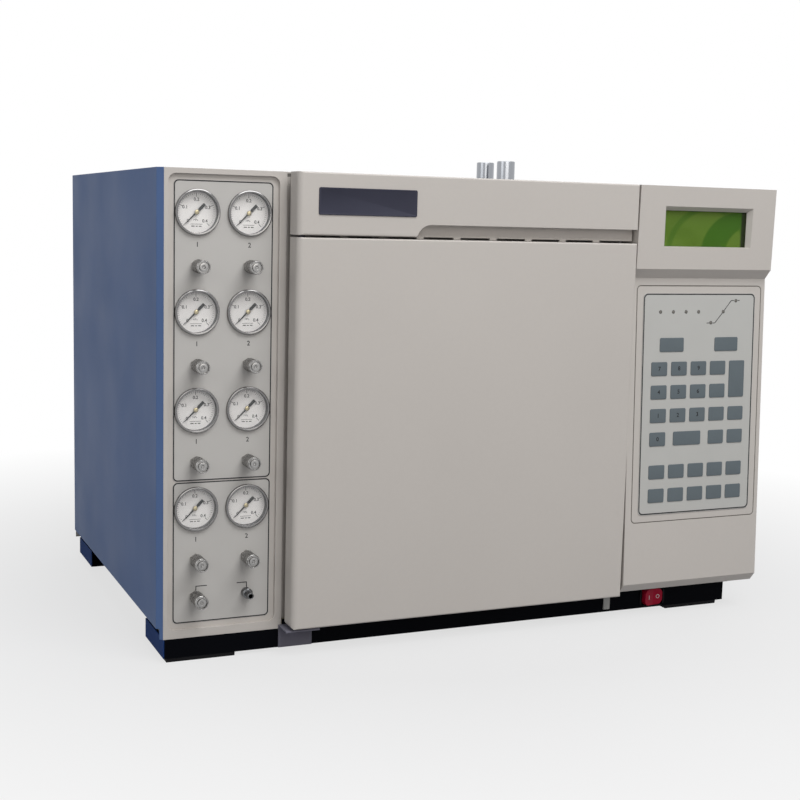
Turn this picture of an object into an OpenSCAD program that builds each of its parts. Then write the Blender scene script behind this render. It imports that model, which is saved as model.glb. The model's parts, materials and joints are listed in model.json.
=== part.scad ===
// Bench-top gas chromatograph: gas control box on the left, column oven behind a hinged door in the
// middle, control column with display and keypad on the right. All sizes are in millimetres.
// Drawn from the cabinet's front left corner: X to the right, Y back from the gas box's front, Z up from
// the bench. Each piece is then placed so that the origin is the middle of the instrument's footprint.

/* [Cabinet] */
// Width of the gas control box
gas_w = 121; // [112:1:160]
// Width of the oven door and of the fascia above it
door_w = 365; // [320:1:440]
// Width of the control column
control_w = 169.7; // [160:0.1:220]
// Depth of the cabinet behind its front plane
case_d = 426; // [410:1:520]
// Height of the cabinet's top above the oven's insulation
headroom = 62.1; // [52:0.1:90]
// Gap between the gas box and the door
gas_gap = 1; // [0.6:0.1:3]
// Gap between the door and the control column
column_gap = 2; // [1:0.1:3]
// Thickness of the cabinet's panels
panel_t = 1.2; // [0.8:0.1:2]
// Thickness of the structural sheet
frame_t = 1.5; // [1:0.1:2.5]
// Bevel along the front edge of the left side panel
bevel = 5.5; // [3:0.5:8]
// How far the side panels end above the base rails
side_lift = 10; // [4:1:16]
// Inset of the base tray from the cabinet's sides
tray_inset = 9; // [7.5:0.5:14]

/* [Base] */
// Height of the rubber pads
pad_h = 3.9; // [1.5:0.1:5]
// Length of each rubber pad along the rail
pad_w = 66; // [30:1:100]
// Inset of the left pads from the rails' left end
pad_inset_left = 3; // [2:1:20]
// Inset of the right pads from the rails' right end
pad_inset_right = 9; // [2:1:20]
// Height of the base rails
rail_h = 18.5; // [16:0.1:30]
// Depth of the base rails
rail_d = 74; // [50:1:100]
// Inset of the rails' left end from the cabinet's side
rail_inset_left = 6; // [3:1:20]
// Inset of the rails' right end from the cabinet's side
rail_inset_right = 18.7; // [3:0.1:30]
// How far the apron under the door rises above the rails
apron_rise = 8.6; // [8.6:0.1:9.5]

/* [Gas box] */
// Depth of the recess that the gauge panel lies in
recess_depth = 3; // [2:0.5:5]
// Border of the front frame at the left of the recess
border_left = 9.7; // [8:0.1:12]
// Border of the front frame at the right of the recess
border_right = 6.9; // [6:0.1:10]
// Border above the recess
border_top = 4.9; // [4:0.1:8]
// Border below the recess
border_bottom = 8.1; // [5:0.1:12]
// Corner radius of the recess
recess_r = 7; // [3:0.5:12]
// Margin between the recess and the printed films
film_margin = 5.2; // [3:0.1:8]
// Thickness of the printed films
film_t = 0.3; // [0.2:0.05:0.5]
// Corner radius of the printed films
film_r = 4.5; // [2:0.5:8]
// Height at which the upper film meets the lower one
film_split_z = 170.7; // [165:0.1:174]
// Distance of the left gauge column from the cabinet's side
gauge_x = 37; // [36:0.1:40]
// Distance between the two gauge columns
gauge_pitch_x = 49.2; // [46:0.1:52]
// Distance of the top gauges below the cabinet's top
gauge_top_drop = 39.1; // [38.3:0.1:47]
// Distance between the upper gauge rows
gauge_pitch_z = 90.5; // [84:0.1:92]
// Height of the two gauges on the lower film
gauge_low_z = 144.6; // [140:0.1:148]
// How far a valve lies below its gauge
valve_drop = 48.6; // [46:0.1:52]
// How far the split valve lies below the row above it
split_drop = 35.3; // [30:0.1:38]

/* [Gauges] */
// Outer diameter of the gauge bezels
gauge_d = 42; // [36:0.5:44]
// How far a bezel stands out of the film
bezel_proud = 3; // [2.5:0.1:5]
// Depth of a gauge case behind the film
gauge_depth = 25; // [18:1:32]
// Depth of the dial below the film's face
dial_depth = 3.7; // [3.2:0.1:5]
// Length of a pointer from its arbor to its tip
pointer_reach = 15.5; // [11:0.5:16]
// Length of a pointer's tail
pointer_tail = 10.5; // [6:0.5:12]
// Width of the bar at the end of a pointer's tail
tail_w = 2.7; // [1.6:0.1:3.2]
// Radius of a pointer's arbor
arbor_r = 0.8; // [0.6:0.1:1.2]
// Radius of the threaded stem at a gauge's back
gauge_stem_r = 5; // [4:0.5:6]

/* [Valves] */
// Diameter of the knurled knobs
knob_d = 12.6; // [11:0.1:16]
// Length of the knurled knobs
knob_len = 21; // [14:0.5:26]
// Space between the film and a knob's back
knob_lift = 3.2; // [3:0.1:6]
// Radius of the valve stems
stem_r = 2; // [1.5:0.1:3]
// Radius of the threaded bush in the panel
bush_r = 4.2; // [3.6:0.1:4.4]
// Size of the panel nuts across their corners
nut_d = 12; // [11:0.5:12.5]
// Thickness of the panel nuts
nut_t = 2; // [1.5:0.1:2.4]
// Length of the split-vent nozzle in front of the film
nozzle_len = 16; // [12:0.5:24]
// Radius of the split-vent nozzle's tip
nozzle_r = 3.1; // [2.6:0.1:3.6]
// Radius of the collar behind the nozzle's tip
collar_r = 4.9; // [4.6:0.1:6]
// Radius of the gas lines
line_r = 1.5; // [1:0.1:2.5]

/* [Door] */
// How far the door and the fascia stand out of the gas box's front
door_proud = 28.3; // [22:0.1:36]
// How far the door's back edge stays in front of the gas box's front
door_back = 7; // [5:0.5:9]
// How far the door's bottom edge stays above the rails
door_lift = 5.8; // [5:0.1:8]
// Gap between the door and the fascia
door_gap = 2.2; // [1.5:0.1:4]
// Thickness of the door's sheet
door_t = 1.5; // [1:0.1:2]
// Radius of the rounded left edge of the door and the fascia
edge_r = 6; // [3:0.5:8]
// Radius of the other front edges
edge_small_r = 1.5; // [0.5:0.1:1.8]
// Radius of the hinge pins
pin_r = 3; // [2:0.1:3.5]
// Distance of the hinge pins from the door's left edge
pin_inset = 9; // [8:0.5:10]
// Distance of the hinge pins from the door's front
pin_back = 14.3; // [12:0.1:15]
// Clearance around each turning pin or shaft
run_gap = 0.05; // [0.02:0.01:0.1]

/* [Fascia] */
// Height of the fascia above the door
fascia_h = 57.3; // [50:0.1:75]
// Wall thickness of the fascia
fascia_t = 2; // [1.5:0.1:3]
// Height of the finger recess in the fascia's lower edge
pull_h = 11.7; // [9:0.1:20]
// Depth of the finger recess
pull_depth = 11; // [8:0.5:14]
// Distance of the finger recess from the fascia's left edge
pull_x = 134; // [80:1:200]
// Radius of the finger recess's rounded end
pull_r = 15; // [12:0.5:25]
// Distance of the first lug in the gap over the door from the door's left edge
tab_x = 49.1; // [36:0.1:60]
// Distance between the lugs
tab_pitch = 39.1; // [30:0.1:60]
// Width of a lug
tab_w = 7.5; // [4:0.1:12]

/* [Oven] */
// Thickness of the oven's insulation
insulation = 22; // [15:1:30]
// Height of the oven cavity's floor above the bench
oven_floor_z = 54; // [50:1:60]
// Height of the oven cavity
oven_h = 318; // [300:1:360]
// Depth of the oven cavity
oven_d = 274.5; // [262:0.5:290]
// Thickness of the oven liner
liner_t = 1.2; // [0.8:0.1:2]
// Width of the lip that the front frame leaves around the cavity
lip = 5; // [3:0.5:8]
// How far the door's plug reaches into the oven
plug_depth = 24; // [15:1:32]
// Clearance between the door's plug and the front frame
plug_gap = 6; // [4:0.5:10]
// Radius of the fan wheel
fan_r = 80; // [60:1:84]
// Width of the fan blades
blade_w = 25; // [18:1:27]
// Number of fan blades
blade_n = 16; // [8:1:20]
// Radius of the fan's shaft
shaft_r = 4; // [3:0.5:5]
// Radius of the column tubing
column_r = 1.6; // [1:0.1:2.2]
// Pitch of the column's turns
column_pitch = 5; // [4.6:0.1:7]
// Full and half turns of each column
column_turns = 3.5; // [2.5:1:4.5]
// Width of the exhaust duct
duct_w = 70; // [50:1:74]
// Height of the exhaust duct
duct_h = 60; // [40:1:64]

/* [Top] */
// Left edge of the well in the top cover, from the door's left edge
well_x = 38; // [30:1:45]
// Width of the well
well_w = 310; // [300:1:318]
// Front edge of the well
well_y = 100; // [90:1:105]
// Depth of the well from front to back
well_d = 152; // [148:1:165]
// How far the well's floor lies below the top
well_drop = 20; // [15:1:30]
// Distance of the injectors from the door's left edge
injector_x = 78; // [72:1:90]
// Distance of the detectors from the door's left edge
detector_x = 305; // [290:1:312]
// Distance of the front injector and detector from the cabinet's front
port_y = 150; // [145:1:152]
// Distance between the two injectors and between the two detectors
port_pitch = 50; // [46:1:54]
// Diameter of the detector towers
tower_d = 19.8; // [16:0.1:24]
// How far the towers stand above the cabinet's top
tower_rise = 25.5; // [15:0.5:40]

/* [Control column] */
// Height of the display head at the top of the column
head_h = 85; // [80:0.5:90]
// Height of the step under the display head
step_h = 9.6; // [6:0.1:14]
// How far the head stands out at its top
head_proud = 27.6; // [24:0.1:34]
// How much less the head stands out at its lower edge
head_lean = 1.9; // [0:0.1:3]
// How far the keypad face stands out at its top
face_proud_top = 17; // [14:0.1:22]
// How far the keypad face stands out at its bottom
face_proud_bottom = 29.8; // [26:0.1:34]
// Height of the column's bottom edge above the rails
column_lift = 9.2; // [9.2:0.1:12]
// Height of the chamfer along the column's bottom
chamfer_h = 8.8; // [5:0.1:14]
// Depth of the chamfer along the column's bottom
chamfer_d = 7.2; // [4:0.1:10]
// Wall thickness of the column's moulding
wall = 2.5; // [2:0.1:3]
// Distance of the display opening from the column's left edge
window_x = 31.5; // [20:0.1:40]
// Width of the display opening
window_w = 109.5; // [90:0.1:120]
// Height of the display opening
window_h = 41.3; // [30:0.1:50]
// Distance of the display opening below the cabinet's top
window_drop = 21; // [15:0.1:25]
// Bevel along the top and the sides of the display opening
window_bevel = 3.8; // [2:0.1:6]
// Bevel along the bottom of the display opening
window_sill = 0.8; // [0.5:0.1:6]
// Depth at which the display window lies
window_depth = 5.5; // [3:0.1:8]
// Width of the keypad film
keypad_w = 141.7; // [130:0.1:150]
// Height of the keypad film
keypad_h = 233.4; // [220:0.1:240]
// Distance of the keypad film from the column's left edge
keypad_x = 15.3; // [12:0.1:20]
// Distance of the keypad film below the step
keypad_drop = 15.7; // [12:0.1:30]
// Thickness of the keypad film
keypad_t = 0.6; // [0.4:0.1:1]
// How far a key stands out of the film
key_rise = 0.5; // [0.3:0.1:0.8]
// Width of a single key
key_w = 19.6; // [16:0.1:21]
// Height of a single key
key_h = 14.6; // [10:0.1:16]
// Distance between key columns
key_pitch = 24.7; // [22:0.1:25.5]
// Margin between the keypad film and the groove around it
groove_margin = 8.2; // [5:0.1:10]

/* [Mains] */
// Distance of the mains switch from the column's left edge
switch_x = 56.6; // [40:0.1:90]
// Width of the mains switch's rocker
rocker_w = 24.4; // [18:0.1:26]
// Height of the mains switch's rocker
rocker_h = 17.6; // [14:0.1:18]
// Tilt of the rocker to either side of its middle
rocker_tilt = 9; // [6:0.5:12]

/* [Hidden] */
$fn = 48;
eps = 0.01; // how far a cutting shape runs past the surface that it opens
clear = 0.3; // gap between pieces that only lie beside each other

// Overall places
door_x = gas_w + gas_gap;
column_x = door_x + door_w + column_gap;
case_w = column_x + control_w;
base_z = pad_h + rail_h;
cavity_top = oven_floor_z + oven_h;
insul_top = cavity_top + liner_t + insulation;
top_z = insul_top + headroom;
body_h = top_z - base_z;
tray_top = base_z + frame_t;
front_seat = recess_depth + film_t; // plane where the gauge panel and the top cover start
rear_y = case_d - panel_t; // inner face of the rear panel
louvre_pitch = 9; // of the slots in the rear panel
front_reach = max(face_proud_bottom, head_proud, door_proud);
rear_reach = case_d + 22; // end of the gas inlets
mid_y = (rear_reach - front_reach) / 2;

// Gas panel: gauges 1 to 8 and valves 1 to 9, counted left to right and downwards
gauge_r = gauge_d / 2;
case_r = gauge_r - 1;
gauge_top_z = top_z - gauge_top_drop;
gauge_rows = [gauge_top_z, gauge_top_z - gauge_pitch_z, gauge_top_z - 2 * gauge_pitch_z, gauge_low_z];
gauge_at = [for (z = gauge_rows, i = [0, 1]) [gauge_x + i * gauge_pitch_x, z]];
split_z = gauge_low_z - valve_drop - split_drop;
valve_at = [for (p = gauge_at) [p[0], p[1] - valve_drop], [gauge_x, split_z]];
nozzle_at = [gauge_x + gauge_pitch_x, split_z];
recess_x = border_left;
recess_w = gas_w - border_left - border_right;
recess_z = base_z + border_bottom;
recess_h = top_z - border_top - recess_z;
bevel_inner = bevel + 1.4 * panel_t; // X plus Y on the inner face of the side panel's bevel
flange_x = bevel + clear; // return flange along the frame's left edge
film_x = recess_x + film_margin;
film_w = recess_w - 2 * film_margin;
film_z = recess_z + film_margin;
film_top = recess_z + recess_h - film_margin;
film_gap = 0.6;
valve_depth = 24; // depth of a valve body behind the film
valve_back = recess_depth + valve_depth;
port_z = 5; // how far a valve's inlet lies below its middle, and its outlet above
nozzle_back = 18; // depth of the vent nozzle behind the film
bore_depth = 15; // depth of a valve's bore behind the film
hole_gap = 0.2; // clearance of the panel's holes

// Door and fascia
door_z = base_z + door_lift;
fascia_z = top_z - fascia_h;
door_top = fascia_z - door_gap;
door_h = door_top - door_z;
pin_x = door_x + pin_inset;
pin_y = pin_back - door_proud;
boss_r = pin_r + 2.5;
boss_h = 14;
frame_y = 4; // front face of the oven's front frame
land_inset = 14; // inset of the door liner's first step from the door's edges
land_back = 1; // how far that step stays in front of the cabinet's front plane
seal_w = 10;
seal_out = 14; // how far the seal reaches outside the front frame's opening
tab_y = pull_depth - door_proud; // front face of the lugs, in line with the recess's back

// Oven
insul_x = gas_w + gas_gap / 2;
insul_w = column_x - gas_gap / 2 - insul_x;
cavity_x = insul_x + insulation + liner_t;
cavity_w = insul_w - 2 * (insulation + liner_t);
cavity_y = frame_y + frame_t;
cavity_back = cavity_y + oven_d;
insul_back = cavity_back + liner_t + insulation;
opening_x = cavity_x + lip;
opening_w = cavity_w - 2 * lip;
opening_z = oven_floor_z + lip;
opening_h = oven_h - 2 * lip;
fan_x = cavity_x + cavity_w / 2;
fan_z = oven_floor_z + oven_h / 2;
fan_wall_gap = 10; // space between the fan's back plate and the oven's rear wall
plate_t = 1.5;
fan_back = cavity_back - fan_wall_gap;
blade_front = fan_back - plate_t - blade_w;
baffle_y = blade_front - 9;
baffle_margin = 20;
inlet_r = fan_r * 0.7;
motor_r = 34;
motor_len = 62;
shaft_end = insul_back + 45;
heater_r = fan_r + 13;
duct_x = cavity_x + cavity_w - duct_w - 10;
duct_z = cavity_top - duct_h - 22;
duct_end = case_d + 6;
flap_t = 1.5;
flap_y = duct_end + clear;
flap_pin_r = 1.5;
flap_pin_z = duct_z + duct_h + 8;
flap_pin_y = flap_y + flap_t / 2;

// Ports through the top of the oven
port_low = cavity_top - 28; // lower end of the injectors and detectors inside the oven
deck_z = top_z - well_drop;
port_tube_r = 5;
injector_r = 15;
detector_r = 20;
column_mid_x = door_x + (injector_x + detector_x) / 2;
coil_r = (detector_x - injector_x) / 2;
coil_z = oven_floor_z + 34 + coil_r;
port_rows = [port_y, port_y + port_pitch];

// Control column
head_z = top_z - head_h;
step_z = head_z - step_h;
column_z = base_z + column_lift;
face_z = column_z + chamfer_h;
face_tilt = atan2(face_proud_bottom - face_proud_top, step_z - face_z);
window_z = top_z - window_drop - window_h;
window_plane_y = head_y(window_z + window_h / 2) + window_depth; // front face of the display window
window_t = 2;
module_t = 7; // thickness of the display module
keypad_top = keypad_drop / cos(face_tilt);

// Mains switch, in the apron below the control column
switch_mid_x = column_x + switch_x;
switch_z = pad_h + (rail_h + apron_rise) / 2 - 1.9;
switch_gap = 1.4;
bezel_border = 2;
bezel_t = 1.5;
rocker_pivot_y = 4;
rocker_pin_r = 1.5;
switch_depth = 22;

// Mains inlet on the rear panel
inlet_x = column_x + control_w * 0.59;
inlet_z = base_z + 40;
inlet_w = 24.6;
inlet_h = 16.6;
inlet_depth = 16;
inlet_wall = 2;
inlet_flange = [50, 24 + 4, 3];

// Gas inlets on the rear panel
feed_x = [gauge_x + 6, gauge_x + gauge_pitch_x / 2, gauge_x + gauge_pitch_x - 6];
feed_y = [100, 130, 160];
feed_z = base_z + 48;
feed_nut_r = 8;
feed_stub_r = 3;
link_y = recess_depth + gauge_depth + 8; // where the gauge links run down to the valves

// Y of the display head's front at height z
function head_y(z) = -head_proud + head_lean * (top_z - z) / head_h;

// ---- Helpers ----

// Rectangle with rounded corners, its lower left corner at the origin
module rounded_rect(w, h, r) {
    translate([r, 0])
        square([w - 2 * r, h]);
    translate([0, r])
        square([w, h - 2 * r]);
    for (x = [r, w - r], y = [r, h - r])
        translate([x, y])
            circle(r);
}

// Extrudes a shape drawn in X and Z backwards from the plane y
module along_y(y, t) {
    translate([0, y + t, 0])
        rotate([90, 0, 0])
            linear_extrude(t)
                children();
}

// Extrudes a shape drawn in Y and Z to the right from the plane x
module along_x(x, t) {
    translate([x, 0, 0])
        rotate([90, 0, 90])
            linear_extrude(t)
                children();
}

// Box given by its lowest and highest corners
module box(a, b) {
    translate(a)
        cube(b - a);
}

// Round bar along Y from y0 back to y1
module bar_y(x, z, y0, y1, r) {
    translate([x, y1, z])
        rotate([90, 0, 0])
            cylinder(h = y1 - y0, r = r);
}

// Shape turned about a Y axis. Its profile is drawn as [radius, distance in front of the plane y]
module turned(x, z, y) {
    translate([x, y, z])
        rotate([90, 0, 0])
            rotate_extrude()
                children();
}

// Six-sided nut blank along Y
module hex_y(x, z, y0, y1, d) {
    translate([x, y1, z])
        rotate([90, 30, 0])
            cylinder(h = y1 - y0, d = d, $fn = 6);
}

// ---- Base ----

// Bent channel, open towards the inside of the base: web along the front, two flanges behind it
module channel(x0, x1, z0, z1, depth) {
    box([x0, 0, z0], [x1, frame_t, z1]);
    box([x0, 0, z0], [x1, depth, z0 + frame_t]);
    box([x0, 0, z1 - frame_t], [x1, depth, z1]);
    for (x = [x0, x1 - frame_t])
        box([x, 0, z0], [x + frame_t, depth, z1]);
}

module base_rails() {
    rail_x1 = case_w - rail_inset_right;
    color("#101014") {
        difference() {
            union() {
                channel(rail_inset_left, rail_x1, pad_h, base_z, rail_d);
                box([door_x, 0, base_z - frame_t], [rail_x1, frame_t, base_z + apron_rise]);
            }
            box([switch_mid_x - rocker_w / 2 - switch_gap - 1, -eps, switch_z - rocker_h / 2 - 1.5],
                [switch_mid_x + rocker_w / 2 + switch_gap + 1, frame_t + eps, switch_z + rocker_h / 2 + 1.5]);
            box([switch_mid_x - rocker_w / 2 - 3, frame_t - eps, base_z - frame_t - eps],
                [switch_mid_x + rocker_w / 2 + 3, switch_depth + 2, base_z + eps]);
        }
        translate([0, case_d, 0])
            mirror([0, 1, 0])
                channel(rail_inset_left, rail_x1, pad_h, base_z, rail_d);
    }
}

module rubber_pads() {
    pad_d = rail_d * 0.78;
    slope = 0.8; // how much a pad narrows towards the bench
    color("#1b1b1d")
        for (x = [rail_inset_left + pad_inset_left, case_w - rail_inset_right - pad_inset_right - pad_w],
             y = [clear, case_d - clear - pad_d])
            along_x(x, pad_w)
                polygon([[y + slope, 0], [y + pad_d - slope, 0], [y + pad_d, pad_h], [y, pad_h]]);
}

module base_tray() {
    flange_h = 6;
    color("#24262a") {
        difference() {
            box([tray_inset, front_seat + frame_t, base_z], [case_w - tray_inset, rear_y, tray_top]);
            box([switch_mid_x - rocker_w / 2 - 3, 0, base_z - eps],
                [switch_mid_x + rocker_w / 2 + 3, switch_depth + 2, tray_top + eps]);
        }
        for (x = [tray_inset, case_w - tray_inset - frame_t])
            box([x, front_seat + frame_t, base_z], [x + frame_t, rear_y, tray_top + flange_h]);
    }
}

module partition_walls() {
    color("#8d9196")
        for (x = [gas_w - frame_t, column_x])
            box([x, cavity_y, tray_top], [x + frame_t, rear_y, top_z - frame_t]);
}

// ---- Panels ----

module left_side_panel() {
    color("#4b6488") {
        translate([0, 0, base_z + side_lift])
            linear_extrude(body_h - side_lift)
                polygon([[0, bevel], [bevel, 0], [bevel, bevel_inner - bevel],
                    [panel_t, bevel_inner - panel_t], [panel_t, case_d], [0, case_d]]);
        translate([0, 0, base_z])
            linear_extrude(side_lift + eps)
                polygon([[bevel - 3, 3], [bevel, 0], [bevel, bevel_inner - bevel]]);
    }
}

module right_side_panel() {
    color("#4b6488")
        box([case_w - panel_t, front_seat + clear, base_z + side_lift], [case_w, case_d, top_z]);
}

// Column of n horizontal louvre slots
module louvres(x, z, w, n) {
    for (i = [0 : n - 1])
        translate([x, z + i * louvre_pitch])
            rounded_rect(w, 3.4, 1.5);
}

module rear_panel() {
    control_louvre_w = control_w * 0.65;
    color("#a9aaa6")
        along_y(rear_y, panel_t)
            difference() {
                translate([panel_t, tray_top])
                    square([case_w - 2 * panel_t, top_z - frame_t - tray_top]);
                translate([duct_x - liner_t - hole_gap, duct_z - liner_t - hole_gap])
                    square([duct_w + 2 * (liner_t + hole_gap), duct_h + 2 * (liner_t + hole_gap)]);
                louvres(fan_x - motor_r - 11, fan_z - 4 * louvre_pitch, 2 * motor_r + 22, 9);
                louvres(column_x + (control_w - control_louvre_w) / 2, fan_z - 4 * louvre_pitch,
                    control_louvre_w, 14);
                for (x = feed_x)
                    translate([x, feed_z])
                        circle(feed_stub_r + 2 + hole_gap);
                translate([inlet_x - inlet_w / 2 - inlet_wall - hole_gap,
                    inlet_z - inlet_h / 2 - inlet_wall - hole_gap])
                    square([inlet_w + 2 * (inlet_wall + hole_gap), inlet_h + 2 * (inlet_wall + hole_gap)]);
            }
}

module top_cover() {
    flange_h = 12;
    corner = bevel_inner + clear; // X plus Y along the cover's cut corner behind the bevel
    color("#b9b5b0") {
        difference() {
            translate([0, 0, top_z - frame_t])
                linear_extrude(frame_t)
                    polygon([
                        [panel_t, corner - panel_t], [corner - front_seat - clear, front_seat + clear],
                        [case_w - panel_t, front_seat + clear], [case_w - panel_t, rear_y],
                        [panel_t, rear_y]]);
            translate([door_x + well_x, well_y, top_z - frame_t - eps])
                linear_extrude(frame_t + 2 * eps)
                    rounded_rect(well_w, well_d, 6);
        }
        for (x = [panel_t, case_w - panel_t - frame_t])
            box([x, corner, top_z - flange_h], [x + frame_t, rear_y - 2, top_z - frame_t]);
    }
}

// Sheet tray under the cut-out in the top cover, with a round hole for each port
module top_deck() {
    rim = 2;
    x0 = door_x + well_x - rim;
    x1 = x0 + well_w + 2 * rim;
    y0 = well_y - rim;
    y1 = y0 + well_d + 2 * rim;
    color("#9b9d9e")
        difference() {
            box([x0, y0, deck_z - panel_t], [x1, y1, top_z - frame_t]);
            box([x0 + panel_t, y0 + panel_t, deck_z], [x1 - panel_t, y1 - panel_t, top_z]);
            for (y = port_rows) {
                translate([door_x + injector_x, y, deck_z - 2 * panel_t])
                    cylinder(h = 3 * panel_t, r = injector_r + hole_gap);
                translate([door_x + detector_x, y, deck_z - 2 * panel_t])
                    cylinder(h = 3 * panel_t, r = detector_r + hole_gap);
            }
        }
}

// ---- Gas control box ----

module gas_box_frame() {
    lip_d = 10; // depth of the return flanges inside the box
    color("#b9b5b0") {
        along_y(0, front_seat)
            difference() {
                translate([bevel, base_z])
                    square([gas_w - bevel, body_h]);
                translate([recess_x, recess_z])
                    rounded_rect(recess_w, recess_h, recess_r);
            }
        for (z = [base_z, top_z - frame_t])
            box([bevel + 2, front_seat, z], [gas_w - frame_t - 1, front_seat + (z > base_z ? clear : frame_t), z + frame_t]);
        box([gas_w - frame_t, front_seat, tray_top], [gas_w, cavity_y, top_z - frame_t]);
        box([flange_x, front_seat - eps, tray_top + 8], [flange_x + frame_t, front_seat + lip_d, top_z - 14]);
    }
}

module gauge_panel() {
    plate_x = flange_x + frame_t + clear;
    color("#b7b6b2")
        along_y(front_seat, frame_t)
            difference() {
                translate([plate_x, tray_top + 2])
                    square([gas_w - frame_t - 1 - plate_x, top_z - 4 - tray_top]);
                for (p = gauge_at)
                    translate(p)
                        circle(case_r + hole_gap);
                for (p = valve_at)
                    translate(p)
                        circle(bush_r + hole_gap);
                translate(nozzle_at)
                    circle(bush_r - 1 + hole_gap);
            }
}

// The two printed films that lie on the gauge panel, one above the other
module panel_films() {
    color("#c2c1bd")
        along_y(recess_depth, film_t)
            for (span = [[film_z, film_split_z - film_gap / 2], [film_split_z + film_gap / 2, film_top]])
                difference() {
                    translate([film_x, span[0]])
                        rounded_rect(film_w, span[1] - span[0], film_r);
                    for (p = gauge_at)
                        translate(p)
                            circle(case_r + hole_gap);
                    for (p = valve_at)
                        translate(p)
                            circle(bush_r + hole_gap);
                    translate(nozzle_at)
                        circle(bush_r - 1 + hole_gap);
                }
}

// Case with its movement post and threaded stem. Heights are measured in front of the film
module gauge_cases() {
    side = 1;
    lens_seat = bezel_proud - 2.3;
    post_r = 6;
    stem_len = 14;
    color("#8f9296")
        for (p = gauge_at)
            turned(p[0], p[1], recess_depth)
                polygon([
                    [0, -gauge_depth - stem_len], [gauge_stem_r, -gauge_depth - stem_len],
                    [gauge_stem_r, -gauge_depth], [case_r, -gauge_depth], [case_r, lens_seat],
                    [case_r - side, lens_seat], [case_r - side, -gauge_depth + side],
                    [post_r, -gauge_depth + side], [post_r, -dial_depth - 0.5],
                    [arbor_r + run_gap, -dial_depth - 0.5], [arbor_r + run_gap, -dial_depth - 8],
                    [0, -dial_depth - 8]]);
}

// Rolled ring with an inner lip that holds the lens
module gauge_bezels() {
    lip_in = 2.2;
    lip_t = 0.8;
    color("#9a9da0")
        for (p = gauge_at)
            turned(p[0], p[1], recess_depth)
                polygon([
                    [case_r + 0.1, 0], [gauge_r, 0], [gauge_r, bezel_proud - 1],
                    [gauge_r - 0.3, bezel_proud - 0.3], [gauge_r - 1, bezel_proud],
                    [gauge_r - lip_in, bezel_proud - 0.2], [gauge_r - lip_in, bezel_proud - lip_t],
                    [case_r + 0.1, bezel_proud - lip_t]]);
}

module gauge_dials() {
    color("#eeeeec")
        for (p = gauge_at)
            turned(p[0], p[1], recess_depth)
                translate([arbor_r + 0.4, -dial_depth - 0.5])
                    square([case_r - 1 - hole_gap - arbor_r - 0.4, 0.5]);
}

module gauge_lenses() {
    color("#dfe8ea", 0.3)
        for (p = gauge_at)
            turned(p[0], p[1], recess_depth)
                translate([0, bezel_proud - 2.3])
                    square([case_r, 1.5]);
}

// Pointer resting at zero, towards the lower left, with its hub and arbor
module gauge_pointer(i) {
    p = gauge_at[i - 1];
    rest_angle = 225;
    blade_y = recess_depth + dial_depth - 1.5;
    color("#141416") {
        translate([p[0], 0, p[1]])
            rotate([0, -rest_angle, 0])
                along_y(blade_y, 0.5)
                    union() {
                        polygon([[-pointer_tail * 0.4, -0.8], [0, -0.8], [pointer_reach - 2.5, -0.35],
                            [pointer_reach, 0], [pointer_reach - 2.5, 0.35], [0, 0.8],
                            [-pointer_tail * 0.4, 0.8]]);
                        translate([-pointer_tail, -tail_w / 2])
                            square([pointer_tail * 0.68, tail_w]);
                    }
        bar_y(p[0], p[1], blade_y - 0.4, blade_y + 0.7, 2);
        bar_y(p[0], p[1], blade_y, recess_depth + dial_depth + 6.5, arbor_r);
    }
}

// Valve body with its threaded bush, drilled for the stem, and the nut that clamps it to the panel
module needle_valves() {
    body_w = 20;
    body_y = front_seat + frame_t;
    color("#a89a72")
        for (p = valve_at) {
            difference() {
                union() {
                    box([p[0] - body_w / 2, body_y, p[1] - body_w / 2],
                        [p[0] + body_w / 2, valve_back, p[1] + body_w / 2]);
                    bar_y(p[0], p[1], recess_depth - knob_lift + 0.6, body_y + eps, bush_r);
                }
                bar_y(p[0], p[1], recess_depth - knob_lift, recess_depth + bore_depth + 0.4,
                    stem_r + run_gap);
            }
            difference() {
                hex_y(p[0], p[1], recess_depth - nut_t, recess_depth, nut_d);
                bar_y(p[0], p[1], recess_depth - nut_t - eps, recess_depth + eps, bush_r + 0.02);
            }
        }
}

// Knob with its stem: a barrel with a rolled front edge and a sunk ring in its face
module valve_knob(i) {
    p = valve_at[i - 1];
    r = knob_d / 2;
    tip = knob_lift + knob_len;
    color("#a3a5a8")
        turned(p[0], p[1], recess_depth)
            polygon([
                [0, -bore_depth], [stem_r, -bore_depth], [stem_r, knob_lift], [r - 0.8, knob_lift],
                [r, knob_lift + 0.8], [r, tip - 1.2], [r - 0.6, tip], [r - 1.4, tip],
                [r - 1.4, tip - 0.8], [r - 2, tip - 0.8], [r - 2, tip - 0.2], [0, tip - 0.2]]);
}

module vent_nozzle() {
    base_r = bush_r - 1;
    nozzle_bore_r = nozzle_r - 0.9;
    color("#9c9ea1")
        turned(nozzle_at[0], nozzle_at[1], recess_depth)
            polygon([
                [nozzle_bore_r, -nozzle_back], [base_r, -nozzle_back],
                [base_r, 0], [collar_r, 0], [collar_r, nozzle_len * 0.45 - 1],
                [collar_r - 1, nozzle_len * 0.45], [nozzle_r, nozzle_len * 0.45],
                [nozzle_r, nozzle_len - 0.5], [nozzle_r - 0.4, nozzle_len],
                [nozzle_bore_r, nozzle_len]]);
}

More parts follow.
